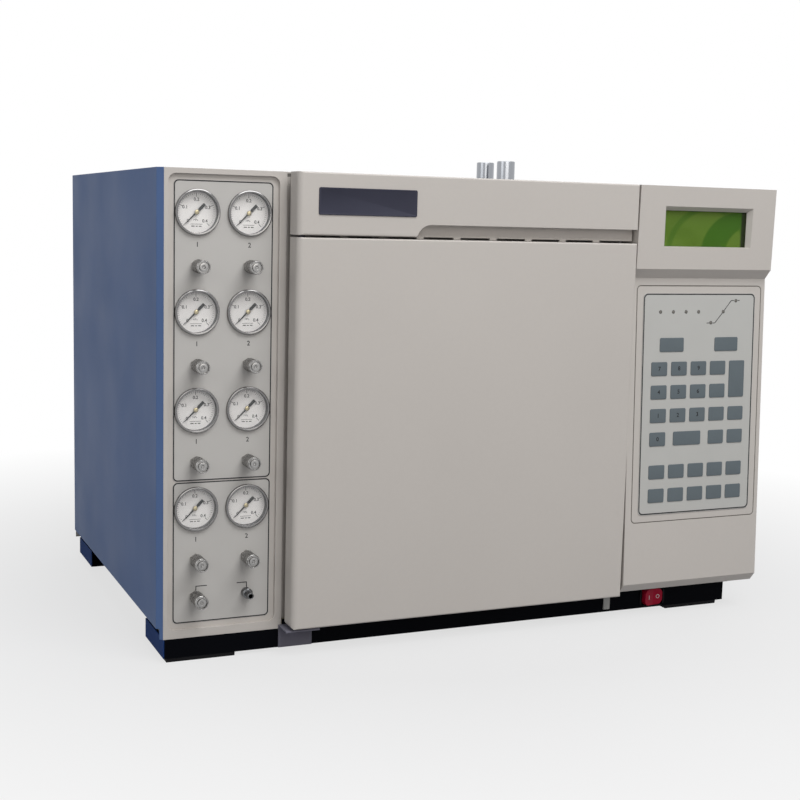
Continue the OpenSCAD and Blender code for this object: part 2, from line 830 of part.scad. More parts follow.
// Steel lines. The first gas feeds the top row, the lowest row and the split valve, the other two
// feed one row each. A link runs from each valve up to its gauge, and one from the split valve to its
// nozzle
module gas_lines() {
    split_feed_z = split_z + port_z;
    vent_z = split_z - port_z;
    color("#a9abad") {
        for (i = [0 : 2]) {
            elbow(feed_x[i], feed_y[i], feed_z);
            line_z(feed_x[i], feed_y[i], feed_z, valve_at[2 * i][1] - port_z);
            bar_y(feed_x[i], feed_z, feed_y[i], rear_y, line_r);
            valve_row(feed_y[i], valve_at[2 * i][1] - port_z);
            gas_inlet(feed_x[i]);
        }
        valve_row(feed_y[0], valve_at[6][1] - port_z);
        line_z(feed_x[0], feed_y[0], split_feed_z, feed_z);
        elbow(feed_x[0], feed_y[0], split_feed_z);
        line_x(gauge_x, feed_x[0], feed_y[0], split_feed_z);
        elbow(gauge_x, feed_y[0], split_feed_z);
        bar_y(gauge_x, split_feed_z, valve_back, feed_y[0], line_r);
        for (i = [0 : 7]) {
            p = valve_at[i];
            bar_y(p[0], p[1] + port_z, valve_back, link_y, line_r);
            elbow(p[0], link_y, p[1] + port_z);
            line_z(p[0], link_y, p[1] + port_z, gauge_at[i][1] - gauge_stem_r);
        }
        bar_y(gauge_x, vent_z, valve_back, link_y, line_r);
        elbow(gauge_x, link_y, vent_z);
        line_x(gauge_x, nozzle_at[0], link_y, vent_z);
        elbow(nozzle_at[0], link_y, vent_z);
        line_z(nozzle_at[0], link_y, vent_z, split_z);
        elbow(nozzle_at[0], link_y, split_z);
        bar_y(nozzle_at[0], split_z, recess_depth + nozzle_back, link_y, line_r);
    }
}

// Ball-shaped elbow where a line turns
module elbow(x, y, z) {
    translate([x, y, z])
        sphere(line_r + 0.4);
}

module line_z(x, y, z0, z1) {
    translate([x, y, z0])
        cylinder(h = z1 - z0, r = line_r);
}

module line_x(x0, x1, y, z) {
    translate([x0, y, z])
        rotate([0, 90, 0])
            cylinder(h = x1 - x0, r = line_r);
}

// Cross line at y with a branch forward to each of the two valves of a row
module valve_row(y, z) {
    line_x(gauge_x, gauge_x + gauge_pitch_x, y, z);
    for (x = [gauge_x, gauge_x + gauge_pitch_x]) {
        elbow(x, y, z);
        bar_y(x, z, valve_back, y, line_r);
    }
}

// Bulkhead fitting: body behind the rear panel, nut outside it, and a plain stub for the gas tube
module gas_inlet(x) {
    bar_y(x, feed_z, rear_y - 16, rear_y, feed_nut_r);
    bar_y(x, feed_z, rear_y - 1, case_d + 1, feed_stub_r + 2);
    hex_y(x, feed_z, case_d, case_d + 6, 2 * feed_nut_r);
    bar_y(x, feed_z, case_d, rear_reach, feed_stub_r);
}

// ---- Fascia and door ----

// Outline in plan of a front cover: rounded front corners, open end at the back
module front_plan(w, front, back, r_left, r_right) {
    difference() {
        translate([0, front])
            square([w, back - front]);
        corner_cut(0, front, r_left);
        translate([w, 0])
            mirror([1, 0])
                corner_cut(0, front, r_right);
    }
}

// What rounding takes off a convex corner at [x, y]
module corner_cut(x, y, r) {
    difference() {
        translate([x - 1, y - 1])
            square([r + 1, r + 1]);
        translate([x + r, y + r])
            circle(r);
    }
}

// Front cover block from z0 to z1 with rounded vertical edges and slightly rounded upper and lower ones
module cover_block(x, w, z0, z1, front, back, r_left, r_small) {
    intersection() {
        translate([x, 0, z0])
            linear_extrude(z1 - z0)
                front_plan(w, front, back, r_left, r_small);
        along_x(x, w)
            translate([0, z0])
                mirror([1, -1])
                    front_plan(z1 - z0, front, back, r_small, r_small);
    }
}

// Finger recess seen from the front: rounded at its left end, open at its right
module pull_outline(grow) {
    x0 = door_x + pull_x;
    intersection() {
        union() {
            translate([x0, fascia_z - 5])
                square([door_w - pull_x + 5, pull_h + 5 + grow]);
            translate([x0, fascia_z + pull_h - pull_r])
                circle(pull_r + grow);
        }
        translate([0, fascia_z - 5])
            square([column_x, pull_h + 5 + grow]);
    }
}

module fascia() {
    inner_x = door_x + fascia_t;
    back = -door_back;
    last_tab = floor((door_w - tab_x - 2 * tab_w) / tab_pitch);
    color("#b9b5b0")
        difference() {
            union() {
                difference() {
                    cover_block(door_x, door_w, fascia_z, top_z, -door_proud, back, edge_r, edge_small_r);
                    cover_block(inner_x, door_w - 2 * fascia_t, fascia_z + fascia_t, top_z - fascia_t,
                        -door_proud + fascia_t, 1, edge_r - fascia_t, 0.1);
                }
                intersection() {
                    cover_block(door_x, door_w, fascia_z, top_z, -door_proud, back, edge_r, edge_small_r);
                    along_y(-door_proud, pull_depth + fascia_t)
                        pull_outline(fascia_t);
                }
                box([door_x + edge_r, back - eps, top_z - fascia_t], [column_x - column_gap, front_seat, top_z]);
                for (i = [0 : last_tab])
                    box([door_x + tab_x + i * tab_pitch - tab_w / 2, tab_y, door_top + clear],
                        [door_x + tab_x + i * tab_pitch + tab_w / 2, tab_y + fascia_t, fascia_z + fascia_t]);
                for (x = [pin_x + 2 * pin_inset, door_x + door_w - 2 * edge_r])
                    box([x, -door_proud + fascia_t / 2, fascia_z + pull_h + pull_r * 0.4],
                        [x + fascia_t, frame_y, top_z - fascia_t]);
            }
            along_y(-door_proud - 1, pull_depth + 1)
                pull_outline(0);
            translate([pin_x, pin_y, fascia_z - 1])
                cylinder(h = fascia_t + 2, r = pin_r + 1.5);
        }
}

module oven_front_frame() {
    plate_x = insul_x;
    color("#a5a39e")
        along_y(frame_y, frame_t)
            difference() {
                translate([plate_x, base_z + apron_rise])
                    square([insul_w, top_z - frame_t - 3 - base_z - apron_rise]);
                translate([opening_x, opening_z])
                    square([opening_w, opening_h]);
            }
}

// Bore block for a hinge pin inside the door
module hinge_boss(z0, z1) {
    translate([pin_x, pin_y, z0])
        cylinder(h = z1 - z0, r = boss_r);
}

module door_skin() {
    back = -door_back;
    color("#b8b4b0")
        difference() {
            union() {
                difference() {
                    cover_block(door_x, door_w, door_z, door_top, -door_proud, back, edge_r, edge_small_r);
                    cover_block(door_x + door_t, door_w - 2 * door_t, door_z + door_t, door_top - door_t,
                        -door_proud + door_t, 1, edge_r - door_t, 0.1);
                }
                hinge_boss(door_z + door_t / 2, door_z + boss_h);
                hinge_boss(door_top - boss_h, door_top - door_t / 2);
            }
            for (z = [door_z - 1, door_top - boss_h - 1])
                translate([pin_x, pin_y, z])
                    cylinder(h = boss_h + 2, r = pin_r + run_gap);
            along_y(-door_proud - 1, door_proud + 1)
                translate([door_x, door_z])
                    corner_cut(0, 0, 4);
        }
}

// Inner pan of the door: a land behind the skin and the hollow plug that closes the oven
module door_liner() {
    back = -door_back;
    land_x = door_x + land_inset;
    land_w = door_w - 2 * land_inset;
    land_z = door_z + land_inset;
    land_h = door_h - 2 * land_inset;
    plug_x = opening_x + plug_gap;
    plug_w = opening_w - 2 * plug_gap;
    plug_z = opening_z + plug_gap;
    plug_h = opening_h - 2 * plug_gap;
    color("#b4b6b7")
        difference() {
            union() {
                box([door_x + door_t, back - liner_t, door_z + door_t],
                    [door_x + door_w - door_t, back, door_top - door_t]);
                box([land_x, back - liner_t, land_z], [land_x + land_w, -land_back, land_z + land_h]);
                box([plug_x, back, plug_z], [plug_x + plug_w, plug_depth, plug_z + plug_h]);
            }
            box([land_x + liner_t, back - liner_t - 1, land_z + liner_t],
                [land_x + land_w - liner_t, -land_back - liner_t, land_z + land_h - liner_t]);
            box([plug_x + liner_t, back - 1, plug_z + liner_t],
                [plug_x + plug_w - liner_t, plug_depth - liner_t, plug_z + plug_h - liner_t]);
            for (z = [door_z + door_t, door_top - boss_h - 1])
                translate([pin_x, pin_y, z - eps])
                    cylinder(h = boss_h, r = boss_r + hole_gap);
        }
}

// Soft seal around the plug, between the door's land and the front frame
module door_seal() {
    color("#7d4a3a")
        along_y(-land_back, frame_y + land_back - clear)
            difference() {
                translate([opening_x - seal_out, opening_z - seal_out])
                    rounded_rect(opening_w + 2 * seal_out, opening_h + 2 * seal_out, 8);
                translate([opening_x - seal_out + seal_w, opening_z - seal_out + seal_w])
                    rounded_rect(opening_w + 2 * (seal_out - seal_w), opening_h + 2 * (seal_out - seal_w), 3);
            }
}

// Lower hinge bracket with its pin, upper hinge bracket behind the fascia, and the rest at the right
module door_brackets() {
    leaf_t = 1.6;
    leaf_x0 = pin_x - 13;
    leaf_x1 = pin_x + 21;
    washer_t = 1.9;
    rest_x1 = door_x + door_w + 4.5;
    tongue_top = door_z - 2;
    upper_z = fascia_z + fascia_t + 1;
    color("#8e9097") {
        box([leaf_x0, -leaf_t, pad_h], [leaf_x1, 0, tongue_top]);
        box([leaf_x0, pin_y - 10, tongue_top - leaf_t], [leaf_x1, 0, tongue_top]);
        translate([pin_x, pin_y, tongue_top - eps])
            cylinder(h = washer_t, r = pin_r + 2);
        translate([pin_x, pin_y, tongue_top - eps])
            cylinder(h = boss_h, r = pin_r);
        box([leaf_x0 + 8, frame_y - leaf_t, upper_z], [leaf_x1 - 6, frame_y, upper_z + 22]);
        box([leaf_x0 + 8, pin_y - 6, upper_z], [leaf_x1 - 6, frame_y, upper_z + leaf_t]);
        translate([pin_x, pin_y, door_top - boss_h + 2])
            cylinder(h = upper_z - door_top + boss_h - 2 + eps, r = pin_r);
        box([rest_x1 - 7.5, -leaf_t, pad_h + 3], [rest_x1, 0, tongue_top]);
        box([rest_x1 - 7.5, -12, tongue_top - leaf_t], [rest_x1, 0, tongue_top]);
    }
}

// ---- Oven ----

// Holes through the oven's top for the four ports, and through its back for the fan shaft
module oven_holes(r) {
    for (x = [injector_x, detector_x], y = port_rows)
        translate([door_x + x, y, cavity_top - 1])
            cylinder(h = insul_top - cavity_top + 2, r = port_tube_r + r);
    bar_y(fan_x, fan_z, cavity_back - 1, insul_back + 1, shaft_r + 1.5 + r);
}

// Open-fronted box with its welded exhaust duct and the ears that carry the flap
module oven_liner() {
    ear_t = 3;
    ear_x = [duct_x - 8 - ear_t, duct_x + duct_w + 8];
    color("#b9bbbc")
        difference() {
            union() {
                box([cavity_x - liner_t, cavity_y, oven_floor_z - liner_t],
                    [cavity_x + cavity_w + liner_t, cavity_back + liner_t, cavity_top + liner_t]);
                box([duct_x - liner_t, cavity_back, duct_z - liner_t],
                    [duct_x + duct_w + liner_t, duct_end, duct_z + duct_h + liner_t]);
                for (x = ear_x)
                    translate([x, flap_pin_y, flap_pin_z])
                        rotate([0, 90, 0])
                            cylinder(h = ear_t, r = 4);
                for (x = ear_x)
                    box([x, case_d, duct_z + duct_h - 4], [x + ear_t, duct_end - 1, flap_pin_z + 4]);
                for (x = ear_x)
                    box([x, case_d + 1, flap_pin_z], [x + ear_t, flap_pin_y, flap_pin_z + 4]);
                box([ear_x[0], case_d, duct_z + duct_h - 4], [ear_x[1] + ear_t, case_d + 1.5, duct_z + duct_h + liner_t]);
            }
            box([cavity_x, cavity_y - 1, oven_floor_z], [cavity_x + cavity_w, cavity_back, cavity_top]);
            box([duct_x, cavity_back - 1, duct_z], [duct_x + duct_w, duct_end + 1, duct_z + duct_h]);
            for (x = ear_x)
                translate([x - 1, flap_pin_y, flap_pin_z])
                    rotate([0, 90, 0])
                        cylinder(h = ear_t + 2, r = flap_pin_r + run_gap);
            oven_holes(0);
        }
}

module oven_insulation() {
    color("#d8d2c0")
        difference() {
            box([insul_x, cavity_y, tray_top], [insul_x + insul_w, insul_back, insul_top]);
            box([cavity_x - liner_t, cavity_y - 1, oven_floor_z - liner_t],
                [cavity_x + cavity_w + liner_t, cavity_back + liner_t, cavity_top + liner_t]);
            box([duct_x - liner_t, cavity_back, duct_z - liner_t],
                [duct_x + duct_w + liner_t, insul_back + 1, duct_z + duct_h + liner_t]);
            oven_holes(0.5);
        }
}

// Radial fan: back plate, hub, blades and the shaft that runs back into the motor
module fan_wheel() {
    blade_t = 1.2;
    hub_r = 12;
    color("#9ea1a3") {
        bar_y(fan_x, fan_z, fan_back - plate_t, fan_back, fan_r);
        bar_y(fan_x, fan_z, blade_front + 4, fan_back + 3, hub_r);
        bar_y(fan_x, fan_z, blade_front, shaft_end, shaft_r);
        for (i = [0 : blade_n - 1])
            translate([fan_x, 0, fan_z])
                rotate([0, i * 360 / blade_n, 0])
                    box([fan_r * 0.55, blade_front, -blade_t / 2],
                        [fan_r - 1, fan_back - plate_t + eps, blade_t / 2]);
    }
}

// Baffle in front of the fan, on four posts from the oven's rear wall
module air_baffle() {
    post = oven_h / 2 - baffle_margin - 14;
    color("#b0b3b4") {
        difference() {
            box([cavity_x + baffle_margin, baffle_y, oven_floor_z + baffle_margin],
                [cavity_x + cavity_w - baffle_margin, baffle_y + liner_t, cavity_top - baffle_margin]);
            bar_y(fan_x, fan_z, baffle_y - 1, baffle_y + liner_t + 1, inlet_r);
        }
        for (i = [-1, 1], k = [-1, 1])
            bar_y(fan_x + i * post, fan_z + k * post, baffle_y + liner_t - eps, cavity_back, 4);
    }
}

// Two wire rings round the fan wheel, on four ceramic posts from the rear wall
module oven_heater() {
    wire_r = 2;
    post_r = 4.5;
    color("#8a7f78") {
        for (y = [blade_front + 4, blade_front + 18])
            translate([fan_x, y, fan_z])
                rotate([90, 0, 0])
                    rotate_extrude()
                        translate([heater_r, 0])
                            circle(wire_r, $fn = 24);
        for (a = [45 : 90 : 315])
            bar_y(fan_x + heater_r * cos(a), fan_z + heater_r * sin(a), blade_front, cavity_back, post_r);
    }
}

module fan_motor() {
    color("#6d7073")
        turned(fan_x, fan_z, insul_back)
            polygon([
                [shaft_r + run_gap, 0], [motor_r + 12, 0], [motor_r + 12, -3], [motor_r, -3],
                [motor_r, -motor_len + 4], [motor_r - 4, -motor_len], [0, -motor_len],
                [0, insul_back - shaft_end - 0.4], [shaft_r + run_gap, insul_back - shaft_end - 0.4]]);
}

module exhaust_flap() {
    side = 6;
    barrel_x0 = duct_x - 7;
    barrel_x1 = duct_x + duct_w + 7;
    color("#a9abad") {
        box([duct_x - side, flap_y, duct_z - side], [duct_x + duct_w + side, flap_y + flap_t, flap_pin_z]);
        translate([barrel_x0, flap_pin_y, flap_pin_z])
            rotate([0, 90, 0])
                cylinder(h = barrel_x1 - barrel_x0, r = 3);
        translate([duct_x - 8 - 2.6, flap_pin_y, flap_pin_z])
            rotate([0, 90, 0])
                cylinder(h = duct_w + 16 + 5.2, r = flap_pin_r);
    }
}

// ---- Columns ----

// Middle line of a packed column: down from the injector, round the coil, up to the detector.
// s runs from 0 to 1 down the first leg, to 2 round the coil and to 3 up the second leg
column_leg_top = port_low + 12;
function column_point(s, y) =
    let (half = column_pitch * column_turns / 2)
    s < 1 ? [column_mid_x - coil_r, y - half * ease(s), column_leg_top + (coil_z - column_leg_top) * s]
    : s <= 2 ? [
        column_mid_x + coil_r * cos(180 + 360 * column_turns * (s - 1)),
        y - half + 2 * half * (s - 1),
        coil_z + coil_r * sin(180 + 360 * column_turns * (s - 1))]
    : [column_mid_x + coil_r, y + half * ease(3 - s), coil_z + (column_leg_top - coil_z) * (s - 2)];
function ease(t) = (1 - cos(180 * t)) / 2;
function unit(v) = v / norm(v);

// Tube swept along a list of points, closed at both ends. Y is never along the tube
module tube(points, r, sides) {
    n = len(points);
    rings = [for (i = [0 : n - 1])
        let (
            t = unit(points[min(i + 1, n - 1)] - points[max(i - 1, 0)]),
            u = unit(cross(t, [0, 1, 0])),
            v = cross(t, u))
        for (k = [0 : sides - 1])
            points[i] + r * (cos(360 * k / sides) * u + sin(360 * k / sides) * v)];
    sides_of = [for (i = [0 : n - 2], k = [0 : sides - 1])
        let (a = i * sides + k, b = i * sides + (k + 1) % sides)
        [a, b, b + sides, a + sides]];
    polyhedron(rings, concat(
        [[for (k = [sides - 1 : -1 : 0]) k]],
        sides_of,
        [[for (k = [0 : sides - 1]) (n - 1) * sides + k]]));
}

module packed_columns() {
    leg_steps = 8;
    coil_steps = 34 * column_turns;
    s = concat(
        [for (i = [0 : leg_steps - 1]) i / leg_steps],
        [for (i = [0 : coil_steps]) 1 + i / coil_steps],
        [for (i = [1 : leg_steps]) 2 + i / leg_steps]);
    color("#9fa2a3")
        for (y = port_rows)
            tube([for (t = s) column_point(t, y)], column_r, 8);
}

// Nut that joins a column to its port, with the port's tube above it
module port_end(x, y) {
    difference() {
        union() {
            translate([x, y, port_low])
                cylinder(h = 12, d = 15, $fn = 6);
            translate([x, y, port_low])
                cylinder(h = insul_top - port_low + 1, r = port_tube_r);
        }
        translate([x, y, port_low - eps])
            cylinder(h = 14, r = column_r + 0.3);
    }
}

// Heated block with a knurled septum nut on top
module injectors() {
    x = door_x + injector_x;
    nut_r = 11;
    color("#a7a9ac")
        for (y = port_rows) {
            port_end(x, y);
            translate([x, y, 0])
                rotate_extrude()
                    polygon([
                        [0, insul_top], [injector_r, insul_top], [injector_r, deck_z + 3],
                        [8, deck_z + 3], [8, deck_z + 8], [nut_r, deck_z + 8], [nut_r, deck_z + 18],
                        [nut_r - 1.5, deck_z + 20], [3, deck_z + 20], [1, deck_z + 17],
                        [1, deck_z - 10], [0, deck_z - 10]]);
        }
}

// Flame detector: round heated base with a chromed tower that stands out of the top
module detectors() {
    x = door_x + detector_x;
    r = tower_d / 2;
    tip = top_z + tower_rise;
    color("#c8cacd")
        for (y = port_rows) {
            port_end(x, y);
            translate([x, y, 0])
                rotate_extrude()
                    polygon([
                        [0, insul_top], [detector_r, insul_top], [detector_r, deck_z + 4],
                        [r + 3, deck_z + 4], [r + 3, deck_z + 9], [r, deck_z + 9], [r, tip - 0.6],
                        [r - 0.6, tip], [r - 2, tip], [r - 2, tip - 12], [0, tip - 12]]);
        }
}

// ---- Control column ----

// Outline of the column seen from its side, drawn in Y and Z. in moves it inwards
module column_outline(in, back) {
    polygon([
        [back, column_z + in], [-face_proud_bottom + chamfer_d + in * 0.5, column_z + in],
        [-face_proud_bottom + in, face_z + in * 0.5], [-face_proud_top + in, step_z + in * 0.4],
        [-head_proud + head_lean + in, head_z + in * 0.4], [-head_proud + in, top_z - in],
        [back, top_z - in]]);
}

// Puts what is drawn in the plane of the keypad face, with X from the column's left edge, Z up from
// the keypad film's lower edge and Y inwards from the face
module on_face() {
    translate([column_x, -face_proud_top, step_z])
        rotate([-face_tilt, 0, 0])
            translate([0, 0, -keypad_top - keypad_h])
                children();
}

// Bevelled cut-out for the display, wide at the front
module window_cut() {
    x0 = column_x + window_x;
    x1 = x0 + window_w;
    z0 = window_z;
    z1 = window_z + window_h;
    y0 = window_plane_y - window_depth;
    y1 = window_plane_y;
    b = window_bevel;
    sill = window_sill;
    out = 3; // how far the cut runs past the face
    grow = b * out / window_depth;
    grow_sill = sill * out / window_depth;
    intersection() {
        along_x(x0 - 9, window_w + 18)
            polygon([[y0 - out, z0 - grow_sill], [y1, z0 + sill], [y1 + 5, z0 + sill], [y1 + 5, z1 - b],
                [y1, z1 - b], [y0 - out, z1 + grow]]);
        translate([0, 0, z0 - 9])
            linear_extrude(window_h + 18)
                polygon([[x0 - grow, y0 - out], [x1 + grow, y0 - out], [x1 - b, y1], [x1 - b, y1 + 5],
                    [x0 + b, y1 + 5], [x0 + b, y1]]);
    }
}

// Moulding: shell with a boss behind the display and a groove round the keypad
module control_housing() {
    groove_w = 1;
    groove_d = 0.6;
    gw = keypad_w + 2 * groove_margin;
    gh = keypad_h + 2 * groove_margin;
    color("#b5b3ae")
        difference() {
            union() {
                difference() {
                    along_x(column_x, control_w)
                        column_outline(0, front_seat);
                    along_x(column_x + wall, control_w - 2 * wall)
                        column_outline(wall, front_seat + 1);
                }
                box([column_x + window_x - 6, head_y(top_z) + wall, window_z - 6],
                    [column_x + window_x + window_w + 6, window_plane_y, window_z + window_h + 6]);
            }
            window_cut();
            on_face()
                translate([keypad_x - groove_margin, 0, -groove_margin])
                    along_y(-1, 1 + groove_d)
                        difference() {
                            rounded_rect(gw, gh, 5);
                            translate([groove_w, groove_w])
                                rounded_rect(gw - 2 * groove_w, gh - 2 * groove_w, 4);
                        }
        }
}

// Keys as [column, row height on the film, width, height]. Rows count up from the film's lower edge
key_rows = [20.2, 45.3, 80.2, 105, 129.8, 154.3];
wide_row = 179.5;
key_x0 = 21.4; // first key column from the film's left edge
keys = concat(
    [for (r = [0, 1], c = [0 : 4]) [key_x0 + c * key_pitch, key_rows[r], key_w, key_h]],
    [for (c = [0, 3, 4]) [key_x0 + c * key_pitch, key_rows[2], key_w, key_h]],
    [[key_x0 + 1.5 * key_pitch, key_rows[2], key_w + 15, key_h]],
    [for (c = [0 : 4]) [key_x0 + c * key_pitch, key_rows[3], key_w, key_h]],
    [for (r = [4, 5], c = [0 : 3]) [key_x0 + c * key_pitch, key_rows[r], key_w, key_h]],
    [[key_x0 + 4 * key_pitch, (key_rows[4] + key_rows[5]) / 2, key_w, key_rows[5] - key_rows[4] + key_h]],
    [for (c = [0.6, 3.4]) [key_x0 + c * key_pitch, wide_row, key_w + 10, key_h]]);

module keypad() {
    color("#bdbcb8")
        on_face() {
            translate([keypad_x, 0, 0])
                along_y(-keypad_t, keypad_t)
                    rounded_rect(keypad_w, keypad_h, 5);
            for (k = keys)
                translate([keypad_x + k[0] - k[2] / 2, 0, k[1] - k[3] / 2])
                    along_y(-keypad_t - key_rise, key_rise + eps)
                        rounded_rect(k[2], k[3], 1.5);
        }
}

module display_window() {
    lap = 2.3; // how far the pane reaches under the housing
    color("#9fb59a", 0.4)
        box([column_x + window_x + window_bevel - lap, window_plane_y, window_z + window_sill - lap],
            [column_x + window_x + window_w - window_bevel + lap, window_plane_y + window_t,
                window_z + window_h - window_bevel + lap]);
}

// Display with its circuit board
module display_module() {
    x0 = column_x + window_x;
    x1 = x0 + window_w;
    y = window_plane_y + window_t;
    color("#5a8a3a") {
        box([x0 + 2, y, window_z], [x1 - 2, y + module_t, window_z + window_h - 2]);
        box([x0 - 6, y + module_t - 1.6, window_z - 6], [x1 + 6, y + module_t, window_z + window_h + 6]);
        for (x = [x0 - 3.5, x1 + 3.5], z = [window_z - 3.5, window_z + window_h + 3.5])
            bar_y(x, z, window_plane_y, y + module_t - 1.5, 1.6);
    }
}

// Main board on four pillars from the right-hand partition wall, with a row of connectors, a row of
// chips and a capacitor
module control_board() {
    pillar = 7;
    board_t = 1.6;
    margin = 8; // distance of the pillars from the board's edges
    y0 = cavity_y + 54;
    len_y = case_d * 0.63;
    z0 = feed_z + 42;
    len_z = (step_z - z0) * 1.12;
    face = column_x + frame_t + pillar + board_t;
    connector = [18, len_y * 0.1, 22];
    chip = [4, len_y * 0.13, len_z * 0.125];
    color("#2f6b3f") {
        box([face - board_t, y0, z0], [face, y0 + len_y, z0 + len_z]);
        for (y = [margin, len_y - margin], z = [margin, len_z - margin])
            translate([column_x + frame_t, y0 + y, z0 + z])
                rotate([0, 90, 0])
                    cylinder(h = pillar + eps, r = 3);
        for (i = [1 : 4])
            translate([face - eps, y0 + i * len_y / 6, z0 + len_z * 0.1])
                cube(connector);
        for (i = [0 : 2])
            translate([face - eps, y0 + len_y * (0.15 + i * 0.26), z0 + len_z * 0.54])
                cube(chip);
        translate([face - eps, y0 + len_y - 45, z0 + len_z - 45])
            rotate([0, 90, 0])
                cylinder(h = 30, r = 16);
    }
}

// ---- Mains ----

// Frame of the rocker switch with its hollow body behind the apron
module switch_bezel() {
    hw = rocker_w / 2 + switch_gap;
    hh = rocker_h / 2 + 0.4;
    bw = hw + 0.8;
    bh = hh + 0.8;
    color("#18181b")
        difference() {
            union() {
                along_y(-bezel_t, bezel_t)
                    translate([switch_mid_x - hw - bezel_border, switch_z - hh - bezel_border])
                        rounded_rect(2 * (hw + bezel_border), 2 * (hh + bezel_border), 7);
                box([switch_mid_x - bw, -eps, switch_z - bh], [switch_mid_x + bw, switch_depth, switch_z + bh]);
            }
            box([switch_mid_x - hw, -bezel_t - 1, switch_z - hh],
                [switch_mid_x + hw, switch_depth - 6, switch_z + hh]);
            translate([switch_mid_x, rocker_pivot_y, switch_z - bh - 1])
                cylinder(h = 2 * bh + 2, r = rocker_pin_r + run_gap);
        }
}

// Rocker resting with its left side pressed, on two stub pins
module power_rocker() {
    w = rocker_w / 2;
    h = rocker_h / 2;
    front = -rocker_pivot_y - 3.2;
    color("#b3122a")
        translate([switch_mid_x, rocker_pivot_y, switch_z])
            rotate([0, 0, rocker_tilt]) {
                intersection() {
                    translate([0, 0, -h])
                        linear_extrude(rocker_h)
                            polygon([[-w, front], [0, front + 1.4], [w, front], [w, front + 5],
                                [w - 3, 7], [-w + 3, 7], [-w, front + 5]]);
                    along_y(front - 1, 30)
                        translate([-w, -h])
                            rounded_rect(rocker_w, rocker_h, 6);
                }
                translate([0, 0, -h - 1])
                    cylinder(h = rocker_h + 2, r = rocker_pin_r);
            }
}

// Three-pin inlet: flange outside the rear panel, hollow body inside, flat pins
module power_inlet() {
    iw = inlet_w / 2;
    ih = inlet_h / 2;
    back_t = 3;
    flange_w = inlet_flange[0] / 2;
    flange_h = inlet_flange[1] / 2;
    mouth = case_d + inlet_flange[2];
    color("#1a1a1c")
        difference() {
            union() {
                along_y(case_d, inlet_flange[2])
                    translate([inlet_x - flange_w, inlet_z - flange_h])
                        rounded_rect(2 * flange_w, 2 * flange_h, 5);
                box([inlet_x - iw - inlet_wall, mouth - inlet_depth - back_t, inlet_z - ih - inlet_wall],
                    [inlet_x + iw + inlet_wall, case_d + eps, inlet_z + ih + inlet_wall]);
            }
            box([inlet_x - iw, mouth - inlet_depth, inlet_z - ih], [inlet_x + iw, mouth + 1, inlet_z + ih]);
        }
    color("#c9b37a")
        for (p = [[-7, -2.5], [7, -2.5], [0, 2.5]])
            box([inlet_x + p[0] - 1, mouth - inlet_depth - eps, inlet_z + p[1] - 2],
                [inlet_x + p[0] + 1, mouth - 2.5, inlet_z + p[1] + 2]);
}

// ---- Placing ----

// Moves a piece from the cabinet's corner to the middle of the footprint
module place() {
    translate([-case_w / 2, -mid_y, 0])
        children();
}

place() base_rails();
place() rubber_pads();
place() base_tray();
place() partition_walls();
place() left_side_panel();
place() right_side_panel();
place() rear_panel();
place() top_cover();
place() top_deck();
place() gas_box_frame();
place() gauge_panel();
place() panel_films();
place() gauge_cases();
place() gauge_bezels();
place() gauge_dials();
place() gauge_lenses();
for (i = [1 : 8])
    place() gauge_pointer(i);
place() needle_valves();
for (i = [1 : 9])
    place() valve_knob(i);
place() vent_nozzle();
place() gas_lines();
place() fascia();
place() oven_front_frame();
place() door_skin();
place() door_liner();
place() door_seal();
place() door_brackets();
place() oven_liner();
place() oven_insulation();
place() fan_wheel();
place() air_baffle();
place() oven_heater();
place() packed_columns();
place() fan_motor();
place() exhaust_flap();
place() detectors();
place() injectors();
place() control_housing();
place() keypad();
place() display_window();
place() display_module();
place() control_board();
place() power_rocker();
place() switch_bezel();
place() power_inlet();
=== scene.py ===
"""Looks for the bench-top gas chromatograph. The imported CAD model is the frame, and every piece made
here rides on one of its bodies. Helper arguments are millimetres from the cabinet's front left corner,
as in the CAD source, and become metres in the frame here."""
import json
import math

import bmesh
import bpy
from mathutils import Matrix, Vector


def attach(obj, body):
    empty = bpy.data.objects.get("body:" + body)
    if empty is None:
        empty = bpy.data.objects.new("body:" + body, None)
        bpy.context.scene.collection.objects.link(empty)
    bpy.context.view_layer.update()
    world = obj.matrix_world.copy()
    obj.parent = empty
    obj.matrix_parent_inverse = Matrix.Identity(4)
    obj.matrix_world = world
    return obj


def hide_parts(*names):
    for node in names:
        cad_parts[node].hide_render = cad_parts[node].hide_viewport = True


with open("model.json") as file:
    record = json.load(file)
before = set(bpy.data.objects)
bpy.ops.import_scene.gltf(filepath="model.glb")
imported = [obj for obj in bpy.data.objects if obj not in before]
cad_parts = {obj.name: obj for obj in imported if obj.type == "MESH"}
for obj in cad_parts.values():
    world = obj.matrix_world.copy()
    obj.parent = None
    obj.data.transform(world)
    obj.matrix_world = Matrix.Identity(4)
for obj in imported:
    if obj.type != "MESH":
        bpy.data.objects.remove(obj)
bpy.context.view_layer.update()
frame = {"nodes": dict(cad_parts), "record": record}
nodes = frame["nodes"]

